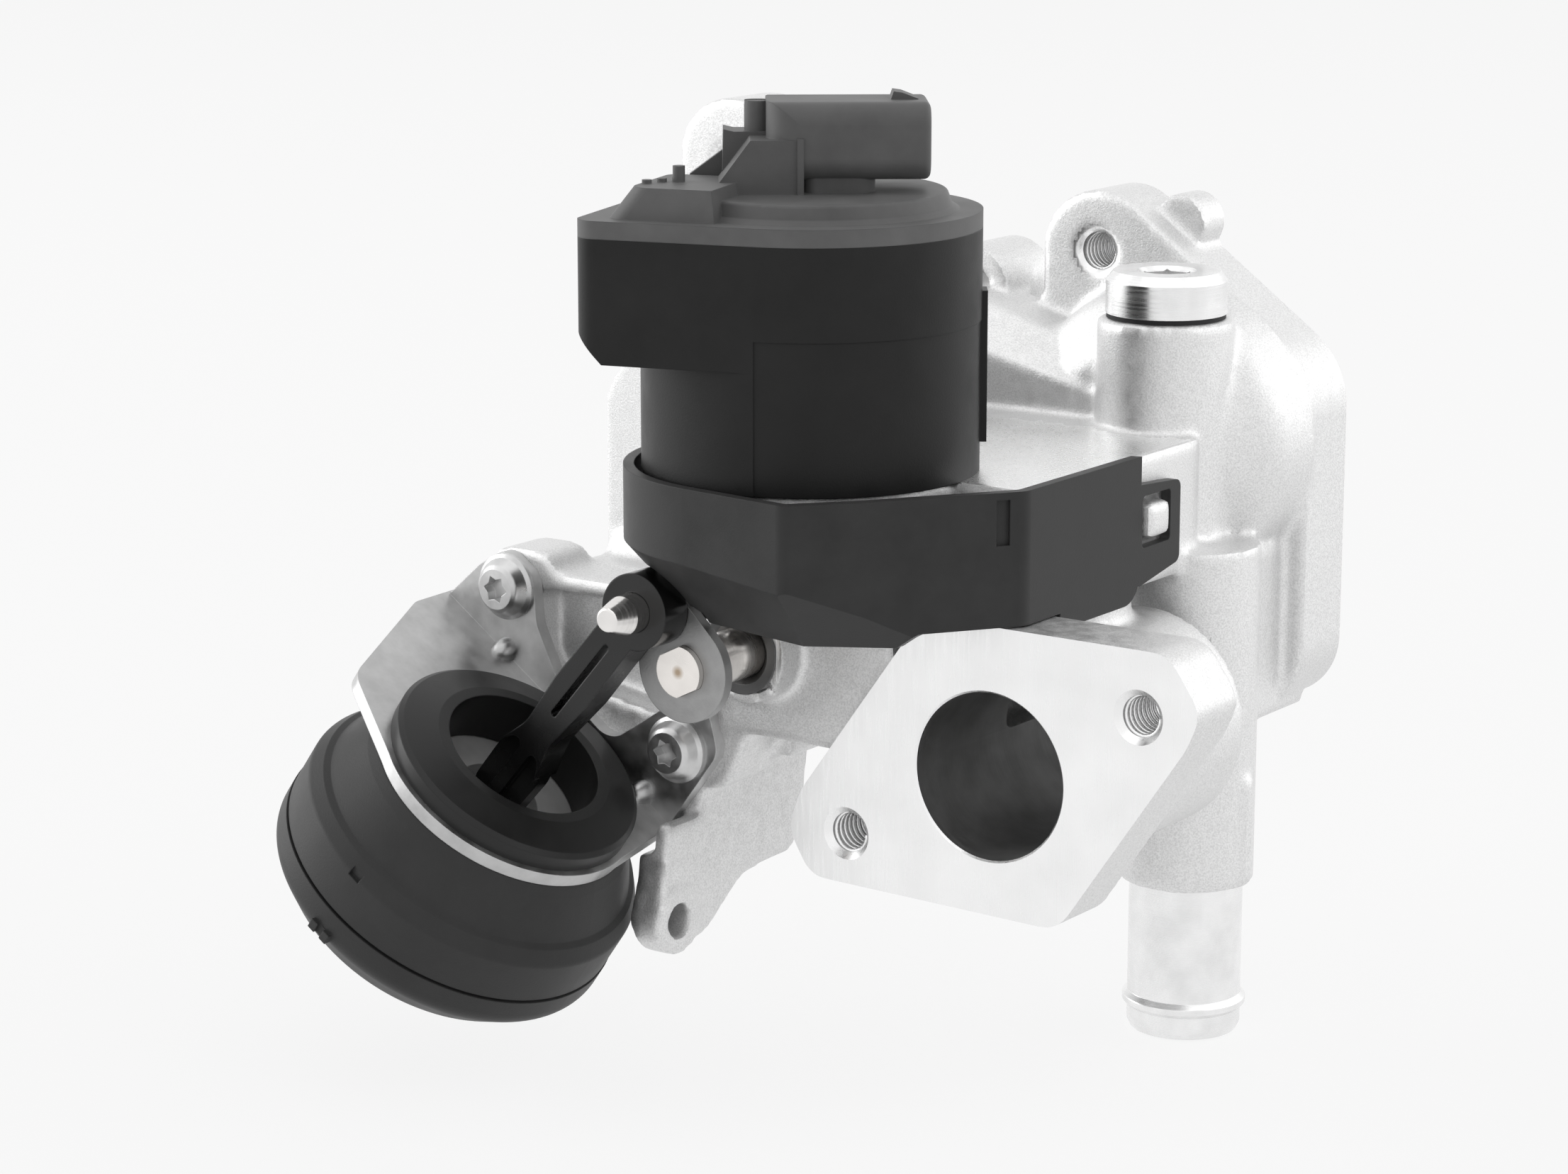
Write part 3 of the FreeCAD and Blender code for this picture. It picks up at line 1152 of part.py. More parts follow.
def make_link_rod():
    """link with an eye, a slit between its arms, and a rounded foot with a rib down its middle"""
    foot = pod_point(0, 0, ROD_FOOT)
    length = math.hypot(PIN_X - foot.x, PIN_Z - foot.z)
    half = ROD_T / 2
    arms = [(-ROD_FOOT_R, -ROD_FOOT_R, 4.2), (ROD_FOOT_R, -ROD_FOOT_R, 4.2), (ROD_FOOT_R + 0.4, 7, 8),
            (3.0, 15, 9),
            (3.9, 26, 9), (3.6, length), (-3.6, length), (-3.9, 26, 9), (-3.0, 15, 9),
            (-ROD_FOOT_R - 0.4, 7, 8)]
    body = slab(arms, front(-half), BACK * ROD_T)
    eye = rod(ROD_EYE_R, point(0, -half, length), point(0, half, length))
    cuts = [rod(LEVER_PIN_R + FIT, point(0, -ROD_T, length), point(0, ROD_T, length))]
    slit = [(-0.6, 20, 0.5), (0.6, 20, 0.5), (0.6, length - 8.5, 0.5), (-0.6, length - 8.5, 0.5)]
    cuts.append(slab(slit, front(-ROD_T), BACK * 2 * ROD_T))
    for sign in (-1, 1):
        beside = [(sign * 1.2, -6), (sign * 6, -6), (sign * 6, 6), (sign * 3.4, 11, 2), (sign * 1.2, 12, 1)]
        for face in (-half - 1, half - 1.4):
            cuts.append(slab(beside, front(face), BACK * 2.4))
    link = joined([body, eye]).cut(joined(cuts))
    turn = math.degrees(math.atan2(PIN_X - foot.x, PIN_Z - foot.z))
    link.Placement = FreeCAD.Placement(foot, FreeCAD.Rotation(BACK, turn))
    return link


# Vacuum pod, in its own frame until it is placed

def make_pod_collar():
    neck = POD_MOUTH_R + 0.9
    floor = BRACKET_S - POD_WALL
    profile = [(POD_MOUTH_R, 0), (POD_MOUTH_R + 2, 0), (COLLAR_R - 0.8, -1.5), (COLLAR_R, -2.2),
               (COLLAR_R, -COLLAR_T),
               (neck, -COLLAR_T), (neck, floor), (POD_MOUTH_R, floor)]
    return turned(profile)


def make_pod_bracket():
    """stamped plate under the collar, bent up into the ear plate that is screwed to the casting"""
    edge = BRACKET_R - 0.6
    bend = edge + BRACKET_T
    disc = post(BRACKET_R, 0, 0, BRACKET_S, -COLLAR_T)
    sheet = slab([(-40.3, bend), (-40, 14, 5), (-29, -12.5, 7), (-8, -22.2, 4), (20, -12.5), (23.4, 2, 8),
                  (19.8, bend)],
                 plan(BRACKET_S), UP * BRACKET_T)
    ears = slab([(-40.3, BRACKET_S), (-37.6, 4, 5), (-35, 10.5, 4), (-27.4, 10.5, 4), (-22, 4, 6),
                 (-12, -1.5, 5),
                 (2, -2, 5), (8.2, 14, 4), (13.4, 18.2, 4), (20.2, 12.5, 4), (19.8, BRACKET_S)],
                front(edge), BACK * BRACKET_T)
    mouth = post(POD_MOUTH_R + 1, 0, 0, BRACKET_S - 1, 0)
    holes = [rod(EAR_SCREW_R + GAP, point(x, edge - 1, s), point(x, bend + 1, s)) for x, s in EAR_SCREWS]
    return joined([disc, sheet, ears]).cut(joined([mouth] + holes))


def make_bracket_screws():
    face = BRACKET_R - 0.6
    screws = []
    for x, s in EAR_SCREWS:
        profile = [(0, -12), (EAR_SCREW_R - 0.5, -12), (EAR_SCREW_R, -11.2), (EAR_SCREW_R, 0), (5.9, 0),
                   (5.9, 0.7),
                   (5.2, 1.2), (4.3, 3.0, 1.2), (3.6, 3.6), (0, 3.6)]
        screw = turned(profile, point(x, face, s), BACK * -1)
        star = [polar(2.5 if i % 2 else 1.75, 30 * i) for i in range(12)]
        socket = slab([(x + dx, s + dz) for dx, dz in star], front(face - 4.6), BACK * 3)
        screws.append(screw.cut(socket))
    return group(screws)


def make_pod_shell():
    top = BRACKET_S
    w = POD_WALL
    profile = [(POD_MOUTH_R + 1, top), (POD_TOP_R, top, 0.8), (24.7, top - 1.9), (28.3, POD_STEP + 0.5),
               (29.4, POD_STEP),
               (POD_R, POD_STEP - 2.5, 1.5), (POD_R, POD_SEAM), (POD_R - w, POD_SEAM),
               (POD_R - w, POD_STEP - 3.4),
               (27.2, POD_STEP - 1.4), (22.4, top - w), (POD_MOUTH_R + 1, top - w)]
    notch = block(point(-1.2, -POD_R - 1, POD_STEP - 3.2), point(1.2, -POD_R + 0.7, POD_STEP - 1.5))
    return turned(profile).cut(notch)


def cap_hollow():
    """(radius, height) corners of the cap's inside, from its middle out to the rim"""
    floor = CAP_FLOOR + POD_WALL
    rim = POD_SEAM - DIAPHRAGM_T
    return [(0, floor), (CAP_R - 19.2, floor + 0.5), (CAP_R - 7.2, floor + 3.2),
            (CAP_R - POD_WALL, rim - 4.2),
            (CAP_R - POD_WALL, rim)]


def make_pod_cap():
    top = POD_SEAM - DIAPHRAGM_T
    outside = [(CAP_R, top), (CAP_R, top - 4.8, 4), (CAP_R - 6.2, CAP_FLOOR + 3.3, 8),
               (CAP_R - 19.2, CAP_FLOOR + 0.5, 4),
               (0, CAP_FLOOR)]
    cap = turned(outside + cap_hollow())
    level = top - 5.5
    reach = CAP_R + 14.8
    spout = tube(POD_NIPPLE_R, POD_NIPPLE_BORE, point(0, 24, level), point(0, reach, level))
    barb = turned([(POD_NIPPLE_BORE, 0), (POD_NIPPLE_R, 0), (POD_NIPPLE_R + 0.6, 0.4),
                   (POD_NIPPLE_R - 0.3, 3),
                   (POD_NIPPLE_BORE, 3)], point(0, reach - 2.8, level), BACK)
    latch = block(point(-2.2, -CAP_R - 0.7, top - 5.4), point(2.2, -CAP_R + 0.6, top - 3.6))
    groove_cut = block(point(-0.7, -CAP_R - 1, top - 5.6), point(0.7, -CAP_R - 0.1, top - 3.4))
    inside = turned(cap_hollow() + [(0, top)])
    bore = rod(POD_NIPPLE_BORE, point(0, 22, level), point(0, reach + 4, level))
    return joined([cap, spout.cut(inside), barb, latch.cut(inside)]).cut(joined([bore, groove_cut]))


def make_diaphragm_plate():
    """light piston plate: a cup for the rod's foot on top, a cup for the spring underneath"""
    t = PISTON_TOP
    profile = [(0, t - 3.3), (7.4, t - 3.3), (7.4, t), (PISTON_R - 1, t), (PISTON_R - 1, t - 13),
               (PISTON_R + 0.5, t - 13),
               (PISTON_R + 0.5, t - 14.5), (PISTON_R - 2.6, t - 14.5), (PISTON_R - 2.6, t - 5.5),
               (0, t - 5.5)]
    return turned(profile)


def make_diaphragm():
    """rolling membrane between the piston plate's rim and the pod's seam"""
    low = PISTON_TOP - 14.5
    seam = POD_SEAM
    rim = CAP_R - 0.7
    profile = [(PISTON_R + 0.55, low + 1.5), (PISTON_R + 1.6, low + 1.5), (PISTON_R + 2.1, low - 4.6),
               (PISTON_R + 4, low - 6.3),
               (PISTON_R + 6.2, low - 6.1), (rim - 3.1, seam), (rim, seam), (rim, seam - DIAPHRAGM_T),
               (rim - 2.5, seam - DIAPHRAGM_T), (PISTON_R + 6.8, low - 7.0), (PISTON_R + 3.7, low - 7.3),
               (PISTON_R + 1.2, low - 5.2), (PISTON_R + 0.55, low)]
    return turned(profile)


def make_pod_spring():
    return coil_spring(POD_SPRING_R, POD_WIRE, POD_COILS, CAP_FLOOR + POD_WALL + 0.5, PISTON_TOP - 5.5)


# Shroud

def link_room():
    """space for the link's eye and the lever's end, under the shroud and the boss"""
    left = PIN_X - LEVER_ARM
    right = PIN_X + ROD_EYE_R + 0.8
    top = PIN_Z + ROD_EYE_R + 0.8
    back = LEVER_FRONT + LEVER_T + 0.8
    eye_room = slab([(left, 10), (left, top, 5), (right, top, 6), (right, 10)], front(-40),
                    BACK * (40 + back))
    lever_room = block(point(left, LEVER_FRONT - 0.8, 10), point(SHAFT_X + LEVER_END_R, back, PIN_Z + 1))
    return eye_room.fuse(lever_room)


def axis_spot(radius, angle):
    """(x, y) at a distance from the actuator's axis"""
    dx, dy = polar(radius, angle)
    return (AXIS_X + dx, AXIS_Y + dy)


def arc_corner(radius, first, last):
    """corner whose rounding is the arc about the actuator's axis from one angle to another"""
    reach = radius / math.cos(math.radians((last - first) / 2))
    return axis_spot(reach, (first + last) / 2) + (radius,)


def moved_in(before, spot, after, inset):
    """a corner of the shroud's plan after both of its sides have moved inwards"""
    normals = []
    for start, end in ((before, spot), (spot, after)):
        length = math.hypot(end[0] - start[0], end[1] - start[1])
        normals.append(((start[1] - end[1]) / length, (end[0] - start[0]) / length))
    (ax, ay), (bx, by) = normals
    scale = inset / (1 + ax * bx + ay * by)
    return (spot[0] + (ax + bx) * scale, spot[1] + (ay + by) * scale)


def shroud_front(inset):
    """corners of the shroud's plan, from its left end round the front to the right panel"""
    heading = bearing_of((AXIS_X, AXIS_Y), SHROUD_NOSE)
    reach = math.hypot(SHROUD_NOSE[0] - AXIS_X, SHROUD_NOSE[1] - AXIS_Y)
    touch = heading + 360 - math.degrees(math.acos(SHROUD_R / reach))
    path = [axis_spot(SHROUD_R, touch), SHROUD_NOSE, SHROUD_CHEEK, (SHROUD_PANEL_X, SHROUD_CORNER_Y),
            (SHROUD_PANEL_X, SHROUD_BACK)]
    corners = [axis_spot(SHROUD_R - inset, SHROUD_END), arc_corner(SHROUD_R - inset, SHROUD_END, touch)]
    for i, radius in ((1, 2.6), (2, 12.0), (3, 4.0)):
        corners.append(moved_in(path[i - 1], path[i], path[i + 1], inset) + (radius - inset,))
    return corners


def underside(inset, low, high):
    """solid inside the slanting underside: a cone on the left that runs out into two planes"""
    ax, ay = polar(1.0, UNDERSIDE_FRONT)
    bx, by = polar(1.0, UNDERSIDE_TURN - 90)
    wires = []
    for z in (low, high):
        grow = SHROUD_SLOPE * (z - SHROUD_BOTTOM) - inset
        first = ax * AXIS_X + ay * AXIS_Y + SHROUD_FOOT_R + grow
        second = bx * UNDERSIDE_SPOT[0] + by * UNDERSIDE_SPOT[1] + grow
        edge = ax * by - ay * bx
        meet = ((first * by - second * ay) / edge, (ax * second - bx * first) / edge)
        corners = [axis_spot(90, SHROUD_END), axis_spot(SHROUD_FOOT_R + grow, SHROUD_END),
                   arc_corner(SHROUD_FOOT_R + grow, SHROUD_END, UNDERSIDE_FRONT + 360), meet,
                   (30, (second - bx * 30) / by), (30, 70), (-90, 70)]
        wires.append(outline(corners, plan(z)))
    return Part.makeLoft(wires, True, True)


def shroud_skin():
    """wall with its slanting underside, open at the back and below"""
    outer = shroud_front(0) + [(SHROUD_PANEL_X, SHROUD_BACK)]
    inner = [axis_spot(90, SHROUD_END)] + shroud_front(SHROUD_WALL) + [(SHROUD_PANEL_X - SHROUD_WALL, 70),
                                                            (-90, 70)]
    body = slab(outer, plan(SHROUD_BOTTOM), UP * (SHROUD_TOP - SHROUD_BOTTOM))
    body = body.common(underside(0, SHROUD_BOTTOM - 1, SHROUD_TOP + 1))
    profile = [(-60, SHROUD_BOTTOM), (SHROUD_BACK, SHROUD_BOTTOM, 5), (SHROUD_BACK, SHROUD_TOP),
               (-60, SHROUD_TOP)]
    body = body.common(slab(profile, side(-80), RIGHT * 100))
    hollow = slab(inner, plan(SHROUD_BOTTOM - 1), UP * (SHROUD_TOP - SHROUD_BOTTOM + 2))
    return body.cut(hollow.common(underside(SHROUD_WALL, SHROUD_BOTTOM - 1.5, SHROUD_TOP + 2)))


def shroud_pocket():
    """shallow upright pocket near the right end of the front panel"""
    turn = bearing_of(SHROUD_CHEEK, (SHROUD_PANEL_X, SHROUD_CORNER_Y))
    pocket = block(point(-POCKET_BACK - 1.15, -1, SHROUD_TOP - 8.6),
                   point(-POCKET_BACK + 1.15, 0.7, SHROUD_TOP - 1.2))
    return turn_about(pocket, turn, SHROUD_PANEL_X, SHROUD_CORNER_Y)


def make_heat_shroud():
    inner_x = SHROUD_PANEL_X - SHROUD_WALL
    tab = slab([(SHROUD_BACK - 1, 25, 1), (SHROUD_BACK - 1, 42.5), (TAB_BACK, 41.5, 1.5),
                (TAB_BACK, 27.5, 1.5)],
               side(inner_x), RIGHT * SHROUD_WALL)
    window = slab([(39.0, 31.6, 0.8), (48.2, 31.6, 0.8), (48.2, 40.4, 0.8), (39.0, 40.4, 0.8)],
                  side(inner_x - 1), RIGHT * 4)
    over_flange = FLANGE_TOP + GAP
    hem = slab([(-9.5, 15), (-9.5, SHROUD_BOTTOM), (-5.5, over_flange), (10, over_flange), (10, 15)],
               front(-40),
               BACK * (40 + FLANGE_T + GAP))
    block_room = block(point(BLOCK_LEFT - GAP, BLOCK_FRONT - GAP, SHROUD_BOTTOM - 1),
                       point(-20, 30, DECK_Z + 1))
    return joined([shroud_skin(), tab]).cut(joined([window, hem, block_room, link_room(), shroud_pocket()]))


LOBE_PARTS = {
    "actuator_body": make_actuator_body,
    "actuator_lid": make_actuator_lid,
    "lid_seal": make_lid_seal,
    "actuator_seal": make_actuator_seal,
    "actuator_screws": make_actuator_screws,
    "connector_pins": make_connector_pins,
    "output_gear": make_output_gear,
    "sensor_magnet": make_sensor_magnet,
    "idler_gear": make_idler_gear,
    "idler_pin": make_idler_pin,
    "motor_pinion": make_motor_pinion,
    "gear_plate": make_gear_plate,
    "gear_bearing": make_gear_bearing,
    "guide_pin": make_guide_pin,
    "motor_can": make_motor_can,
    "motor_magnets": make_motor_magnets,
    "motor_rotor": make_motor_rotor,
    "motor_bearings": make_motor_bearings,
    "brush_card": make_brush_card,
    "sensor_board": make_sensor_board,
}

POD_PARTS = {
    "pod_collar": make_pod_collar,
    "pod_bracket": make_pod_bracket,
    "bracket_screws": make_bracket_screws,
    "pod_shell": make_pod_shell,
    "pod_cap": make_pod_cap,
    "diaphragm_plate": make_diaphragm_plate,
    "diaphragm": make_diaphragm,
    "pod_spring": make_pod_spring,
}

WORLD_PARTS = {
    "valve_housing": make_valve_housing,
    "coolant_nipple": make_coolant_nipple,
    "plug_screw": make_plug_screw,
    "plug_seal": make_plug_seal,
    "heat_shroud": make_heat_shroud,
    "valve_seat": make_valve_seat,
    "valve_poppet": make_valve_poppet,
    "valve_stem": make_valve_stem,
    "stem_guide": make_stem_guide,
    "stem_seal": make_stem_seal,
    "spring_retainer": make_spring_retainer,
    "valve_spring": make_valve_spring,
    "flap_shaft": make_flap_shaft,
    "bypass_flap": make_bypass_flap,
    "flap_screws": make_flap_screws,
    "flap_bushes": make_flap_bushes,
    "shaft_seal": make_shaft_seal,
    "lever_plate": make_lever_plate,
    "lever_pin": make_lever_pin,
    "link_rod": make_link_rod,
}


def main():
    os.makedirs("parts", exist_ok=True)
    for name, make in WORLD_PARTS.items():
        save(name, make())
    for name, make in LOBE_PARTS.items():
        save(name, turn_about(make(), LOBE_TURN, AXIS_X, AXIS_Y))
    for name, make in POD_PARTS.items():
        save(name, pod_place(make()))


main()
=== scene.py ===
import math

import bmesh
import bpy
from mathutils import Matrix, Vector


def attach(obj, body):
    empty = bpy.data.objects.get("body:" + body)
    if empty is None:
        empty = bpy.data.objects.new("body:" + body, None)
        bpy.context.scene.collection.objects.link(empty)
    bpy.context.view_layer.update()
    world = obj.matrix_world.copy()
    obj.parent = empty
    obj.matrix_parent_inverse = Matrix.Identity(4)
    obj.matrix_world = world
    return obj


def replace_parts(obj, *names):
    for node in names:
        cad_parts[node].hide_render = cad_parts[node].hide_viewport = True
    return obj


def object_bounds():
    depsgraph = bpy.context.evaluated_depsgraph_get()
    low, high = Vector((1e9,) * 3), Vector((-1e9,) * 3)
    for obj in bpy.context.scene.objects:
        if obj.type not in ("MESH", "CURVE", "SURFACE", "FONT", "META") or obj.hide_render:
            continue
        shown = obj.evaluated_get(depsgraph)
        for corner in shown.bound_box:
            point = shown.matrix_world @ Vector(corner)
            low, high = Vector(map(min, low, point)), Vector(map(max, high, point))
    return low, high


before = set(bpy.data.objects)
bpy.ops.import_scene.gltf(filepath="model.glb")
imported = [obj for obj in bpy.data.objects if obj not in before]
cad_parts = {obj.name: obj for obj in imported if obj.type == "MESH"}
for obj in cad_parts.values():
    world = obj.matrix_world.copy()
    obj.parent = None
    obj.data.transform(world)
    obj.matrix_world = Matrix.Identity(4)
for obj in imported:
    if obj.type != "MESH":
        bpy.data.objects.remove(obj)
CAD_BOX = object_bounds()
MM = 0.001

# Places on the part, in millimetres
FLANGE_Y = 0.0
REAR_Y = 99.0
DECK_Z = 46.5
INLET_R = 14.0
FLANGE_BOLTS = ((27.8, 14.1), (-27.8, -14.1))
FLANGE_T = 13.0
REAR_BOLTS = ((-32.4, 73.2), (-113.2, 83.2), (1.5, 0.5), (-94.5, -0.5), (-58.0, 64.0))
REAR_T = 14.0
BOLT_R = 3.4
BOLT_MOUTH_R = 4.5
BOLT_MOUTH_DEPTH = 1.1
INLET_END = 45.9
INLET_CHAMFER = 0.3
PASSAGE_END = 59.9
SHAFT_X = -49.4
SHAFT_Z = 13.9
SEAL_R = 7.3
STAKE_R = 1.3
SEAL_SEAT_END = 8.0
PORT_R = 13.0
PORTS = ((-16.0, 40.0), (-79.0, 13.9))
PORT_START = 84.0
DECK_END = 60.0

# Vacuum pod's frame and the bend of its bracket
POD_PLACE = (-80.45, -19.6, -4.3)
POD_TILT = 35.4
BEND_Y = 3.6
BEND_S = -5.2
GUSSET_X = (-24.4, 12.4)
GUSSET_SIZE = (2.3, 3.4, 3.2)

# Casting skin
VOXEL = 0.8
SMOOTH_ROUNDS = 5
KEPT_SHARE = 0.54
CUT_ALLOWANCE = 3.0
SHARP_ANGLE = math.radians(35)
MILLED_BOXES = (((-42.0, -6.0, -34.0), (48.0, FLANGE_Y, 25.4)),
                ((-140.0, REAR_Y, -40.0), (30.0, 106.0, 115.0)))
BORE_ALLOWANCE = 0.5
BORE_STEPS = 96
TOOL_FRONT = -4.0
TOOL_OVERRUN = 4.0

# Threads of the bolt holes: M8
THREAD_PITCH = 1.25
THREAD_STEPS = 28
THREAD_HEIGHT = 0.42
THREAD_ROOT = 0.12
CREST_HALF = 0.06
FLANGE_THREAD_START = 1.3
FLANGE_THREAD_DEPTH = 11
REAR_THREAD_START = 1.6
REAR_THREAD_DEPTH = 11.5

# Studio, in metres, degrees and watts
LAMPS = (("key_right", 105, 35, 2.5, 2.0, 6.25), ("top", 10, 82, 2.5, 2.5, 6.9),
         ("side_left", -68, 14, 2.5, 2.0, 31.0), ("side_back", 140, 14, 2.5, 2.25, 12.5))
WORLD_LIGHT = 0.4
FLOOR_R = 6.0
FLOOR_GAP = 0.0005
FLOOR_GREY = 0.93
FLOOR_GLOW = 0.84
CAMERA_PLACE = (0.3450, -0.5424, 0.1762)
CAMERA_AZIMUTH = 35.4
CAMERA_ELEVATION = 12.7
LENS = 94.4


def millimetres(x, y, z):
    return Vector((x, y, z)) * MM


def away_at(azimuth, elevation):
    """direction at an azimuth round the object and an elevation above it"""
    a, e = math.radians(azimuth), math.radians(elevation)
    return Vector((math.sin(a) * math.cos(e), -math.cos(a) * math.cos(e), math.sin(e)))


# Materials

ALONG_Z = (0.03, 0.03, 1.0)
ALONG_Y = (0.03, 1.0, 0.03)


def fresh_material(name, colour, roughness, metallic=0.0, specular=0.5):
    material = bpy.data.materials.new(name)
    material.use_nodes = True
    surface = material.node_tree.nodes["Principled BSDF"]
    surface.inputs["Base Color"].default_value = (*colour, 1)
    surface.inputs["Roughness"].default_value = roughness
    surface.inputs["Metallic"].default_value = metallic
    surface.inputs["Specular IOR Level"].default_value = specular
    return material


def add(material, kind, **values):
    node = material.node_tree.nodes.new(kind)
    for key, value in values.items():
        setattr(node, key, value)
    return node


def link(material, source, target):
    material.node_tree.links.new(source, target)


def object_place(material):
    return add(material, "ShaderNodeTexCoord").outputs["Object"]


def grain(material, size, detail=2.0, rough=0.5, stretch=None):
    """noise whose features are about size millimetres, stretched by three factors"""
    place = object_place(material)
    if stretch:
        mapping = add(material, "ShaderNodeMapping")
        mapping.inputs["Scale"].default_value = stretch
        link(material, place, mapping.inputs["Vector"])
        place = mapping.outputs["Vector"]
    noise = add(material, "ShaderNodeTexNoise")
    noise.inputs["Scale"].default_value = 1 / (size * MM)
    noise.inputs["Detail"].default_value = detail
    noise.inputs["Roughness"].default_value = rough
    link(material, place, noise.inputs["Vector"])
    return noise.outputs["Fac"]


def spread(material, value, low, high, start=0.3, end=0.7):
    """the value spread between two numbers"""
    node = add(material, "ShaderNodeMapRange")
    node.inputs["From Min"].default_value = start
    node.inputs["From Max"].default_value = end
    node.inputs["To Min"].default_value = low
    node.inputs["To Max"].default_value = high
    link(material, value, node.inputs["Value"])
    return node.outputs["Result"]


def tint(material, value, dark, light, start=0.3, end=0.7):
    """colour between dark and light as the value goes from start to end"""
    node = add(material, "ShaderNodeValToRGB")
    node.color_ramp.elements[0].position = start
    node.color_ramp.elements[0].color = (*dark, 1)
    node.color_ramp.elements[1].position = end
    node.color_ramp.elements[1].color = (*light, 1)
    link(material, value, node.inputs["Fac"])
    return node.outputs["Color"]


def relief(material, steps, edge=0.0):
    """normal from (height, depth in mm) pairs over an edge rounded by edge millimetres"""
    normal = None
    if edge:
        rounded = add(material, "ShaderNodeBevel")
        rounded.samples = 4
        rounded.inputs["Radius"].default_value = edge * MM
        normal = rounded.outputs["Normal"]
    for height, depth in steps:
        bump = add(material, "ShaderNodeBump")
        bump.inputs["Strength"].default_value = 1.0
        bump.inputs["Distance"].default_value = depth * MM
        link(material, height, bump.inputs["Height"])
        if normal:
            link(material, normal, bump.inputs["Normal"])
        normal = bump.outputs["Normal"]
    return normal


def finish_with(material, colour, roughness, normal):
    surface = material.node_tree.nodes["Principled BSDF"]
    link(material, colour, surface.inputs["Base Color"])
    link(material, roughness, surface.inputs["Roughness"])
    link(material, normal, surface.inputs["Normal"])
    return material


def grey(level, warm=0.0):
    return (level * (1 + warm), level, level * (1 - warm))


def moulding(name, level, gloss, specular, pit=0.02, edge=0.3):
    """glass-filled plastic: fine spark-eroded grain, cloudy sheen and soft edges"""
    material = fresh_material(name, grey(level), gloss, specular=specular)
    fine = grain(material, 0.35, 3.0, 0.6)
    cloud = grain(material, 9.0, 3.0, 0.55)
    colour = tint(material, cloud, grey(level * 0.86), grey(level * 1.14))
    roughness = spread(material, cloud, gloss - 0.06, gloss + 0.06)
    return finish_with(material, colour, roughness, relief(material, [(fine, pit)], edge))


def casting():
    """sand-textured aluminium as cast"""
    material = fresh_material("cast_aluminium", grey(0.85), 0.5, 1.0)
    fine = grain(material, 0.3, 3.0, 0.7)
    lump = grain(material, 2.2, 3.0, 0.5)
    colour = tint(material, fine, grey(0.65), grey(0.82), 0.36, 0.6)
    roughness = spread(material, lump, 0.42, 0.56)
    return finish_with(material, colour, roughness, relief(material, [(lump, 0.04), (fine, 0.06)]))


def machined():
    """milled aluminium with a faint sweep of the cutter"""
    material = fresh_material("machined_aluminium", grey(0.9), 0.3, 1.0)
    sweep = grain(material, 0.5, 2.0, 0.5, (1.0, 1.0, 0.06))
    cloud = grain(material, 11.0, 2.0, 0.5)
    colour = tint(material, cloud, grey(0.88), grey(0.94))
    roughness = spread(material, sweep, 0.24, 0.36)
    return finish_with(material, colour, roughness, relief(material, [(sweep, 0.004)]))


def bore_shade_material():
    """inner wall of the bored passage and the bolt holes, darker than the faces outside: painted shade
    inside the holes
    """
    material = fresh_material("bore_painted_shade", grey(0.3), 0.42, 1.0)
    rings = grain(material, 0.4, 2.0, 0.5, ALONG_Y)
    cloud = grain(material, 9.0, 3.0, 0.5)
    colour = tint(material, cloud, grey(0.42), grey(0.6))
    roughness = spread(material, rings, 0.36, 0.5)
    return finish_with(material, colour, roughness, relief(material, [(rings, 0.01)]))


def turned(name, level, gloss, step, axis, warm=0.0):
    """metal turned on a lathe: rings of the tool round the axis"""
    material = fresh_material(name, grey(level, warm), gloss, 1.0)
    rings = grain(material, step, 2.0, 0.5, axis)
    cloud = grain(material, 5.0, 2.0, 0.5)
    colour = tint(material, cloud, grey(level * 0.93, warm), grey(min(level * 1.05, 0.95), warm))
    roughness = spread(material, rings, gloss - 0.07, gloss + 0.07)
    return finish_with(material, colour, roughness, relief(material, [(rings, 0.006)], 0.15))


def satin(name, level, gloss, pit=0.01, size=0.5):
    """plated or blasted steel"""
    material = fresh_material(name, grey(level), gloss, 1.0)
    fine = grain(material, size, 3.0, 0.6)
    cloud = grain(material, 4.0, 3.0, 0.55)
    colour = tint(material, cloud, grey(level * 0.85), grey(min(level * 1.12, 0.95)))
    roughness = spread(material, cloud, gloss - 0.08, gloss + 0.08)
    return finish_with(material, colour, roughness, relief(material, [(fine, pit)], 0.2))


def staked_shaft():
    """ground shaft, heated brown round the stake mark in the middle of its end"""
    material = turned("polished_shaft", 0.78, 0.22, 0.3, ALONG_Y, 0.04)
    surface = material.node_tree.nodes["Principled BSDF"]
    ground = surface.inputs["Base Color"].links[0].from_socket
    centre = add(material, "ShaderNodeMapping")
    centre.inputs["Location"].default_value = millimetres(-SHAFT_X, 0, -SHAFT_Z)
    link(material, object_place(material), centre.inputs["Vector"])
    flat = add(material, "ShaderNodeVectorMath", operation="MULTIPLY")
    flat.inputs[1].default_value = (1, 0, 1)
    link(material, centre.outputs["Vector"], flat.inputs[0])
    away = add(material, "ShaderNodeVectorMath", operation="LENGTH")
    link(material, flat.outputs["Vector"], away.inputs[0])
    heated = spread(material, away.outputs["Value"], 0.8, 0.0, STAKE_R * MM * 0.25, STAKE_R * MM)
    mix = add(material, "ShaderNodeMix", data_type="RGBA")
    first, second = [socket for socket in mix.inputs if socket.type == "RGBA"]
    link(material, heated, mix.inputs[0])
    link(material, ground, first)
    second.default_value = (0.3, 0.2, 0.1, 1)
    mixed = [socket for socket in mix.outputs if socket.type == "RGBA"][0]
    link(material, mixed, surface.inputs["Base Color"])
    return material


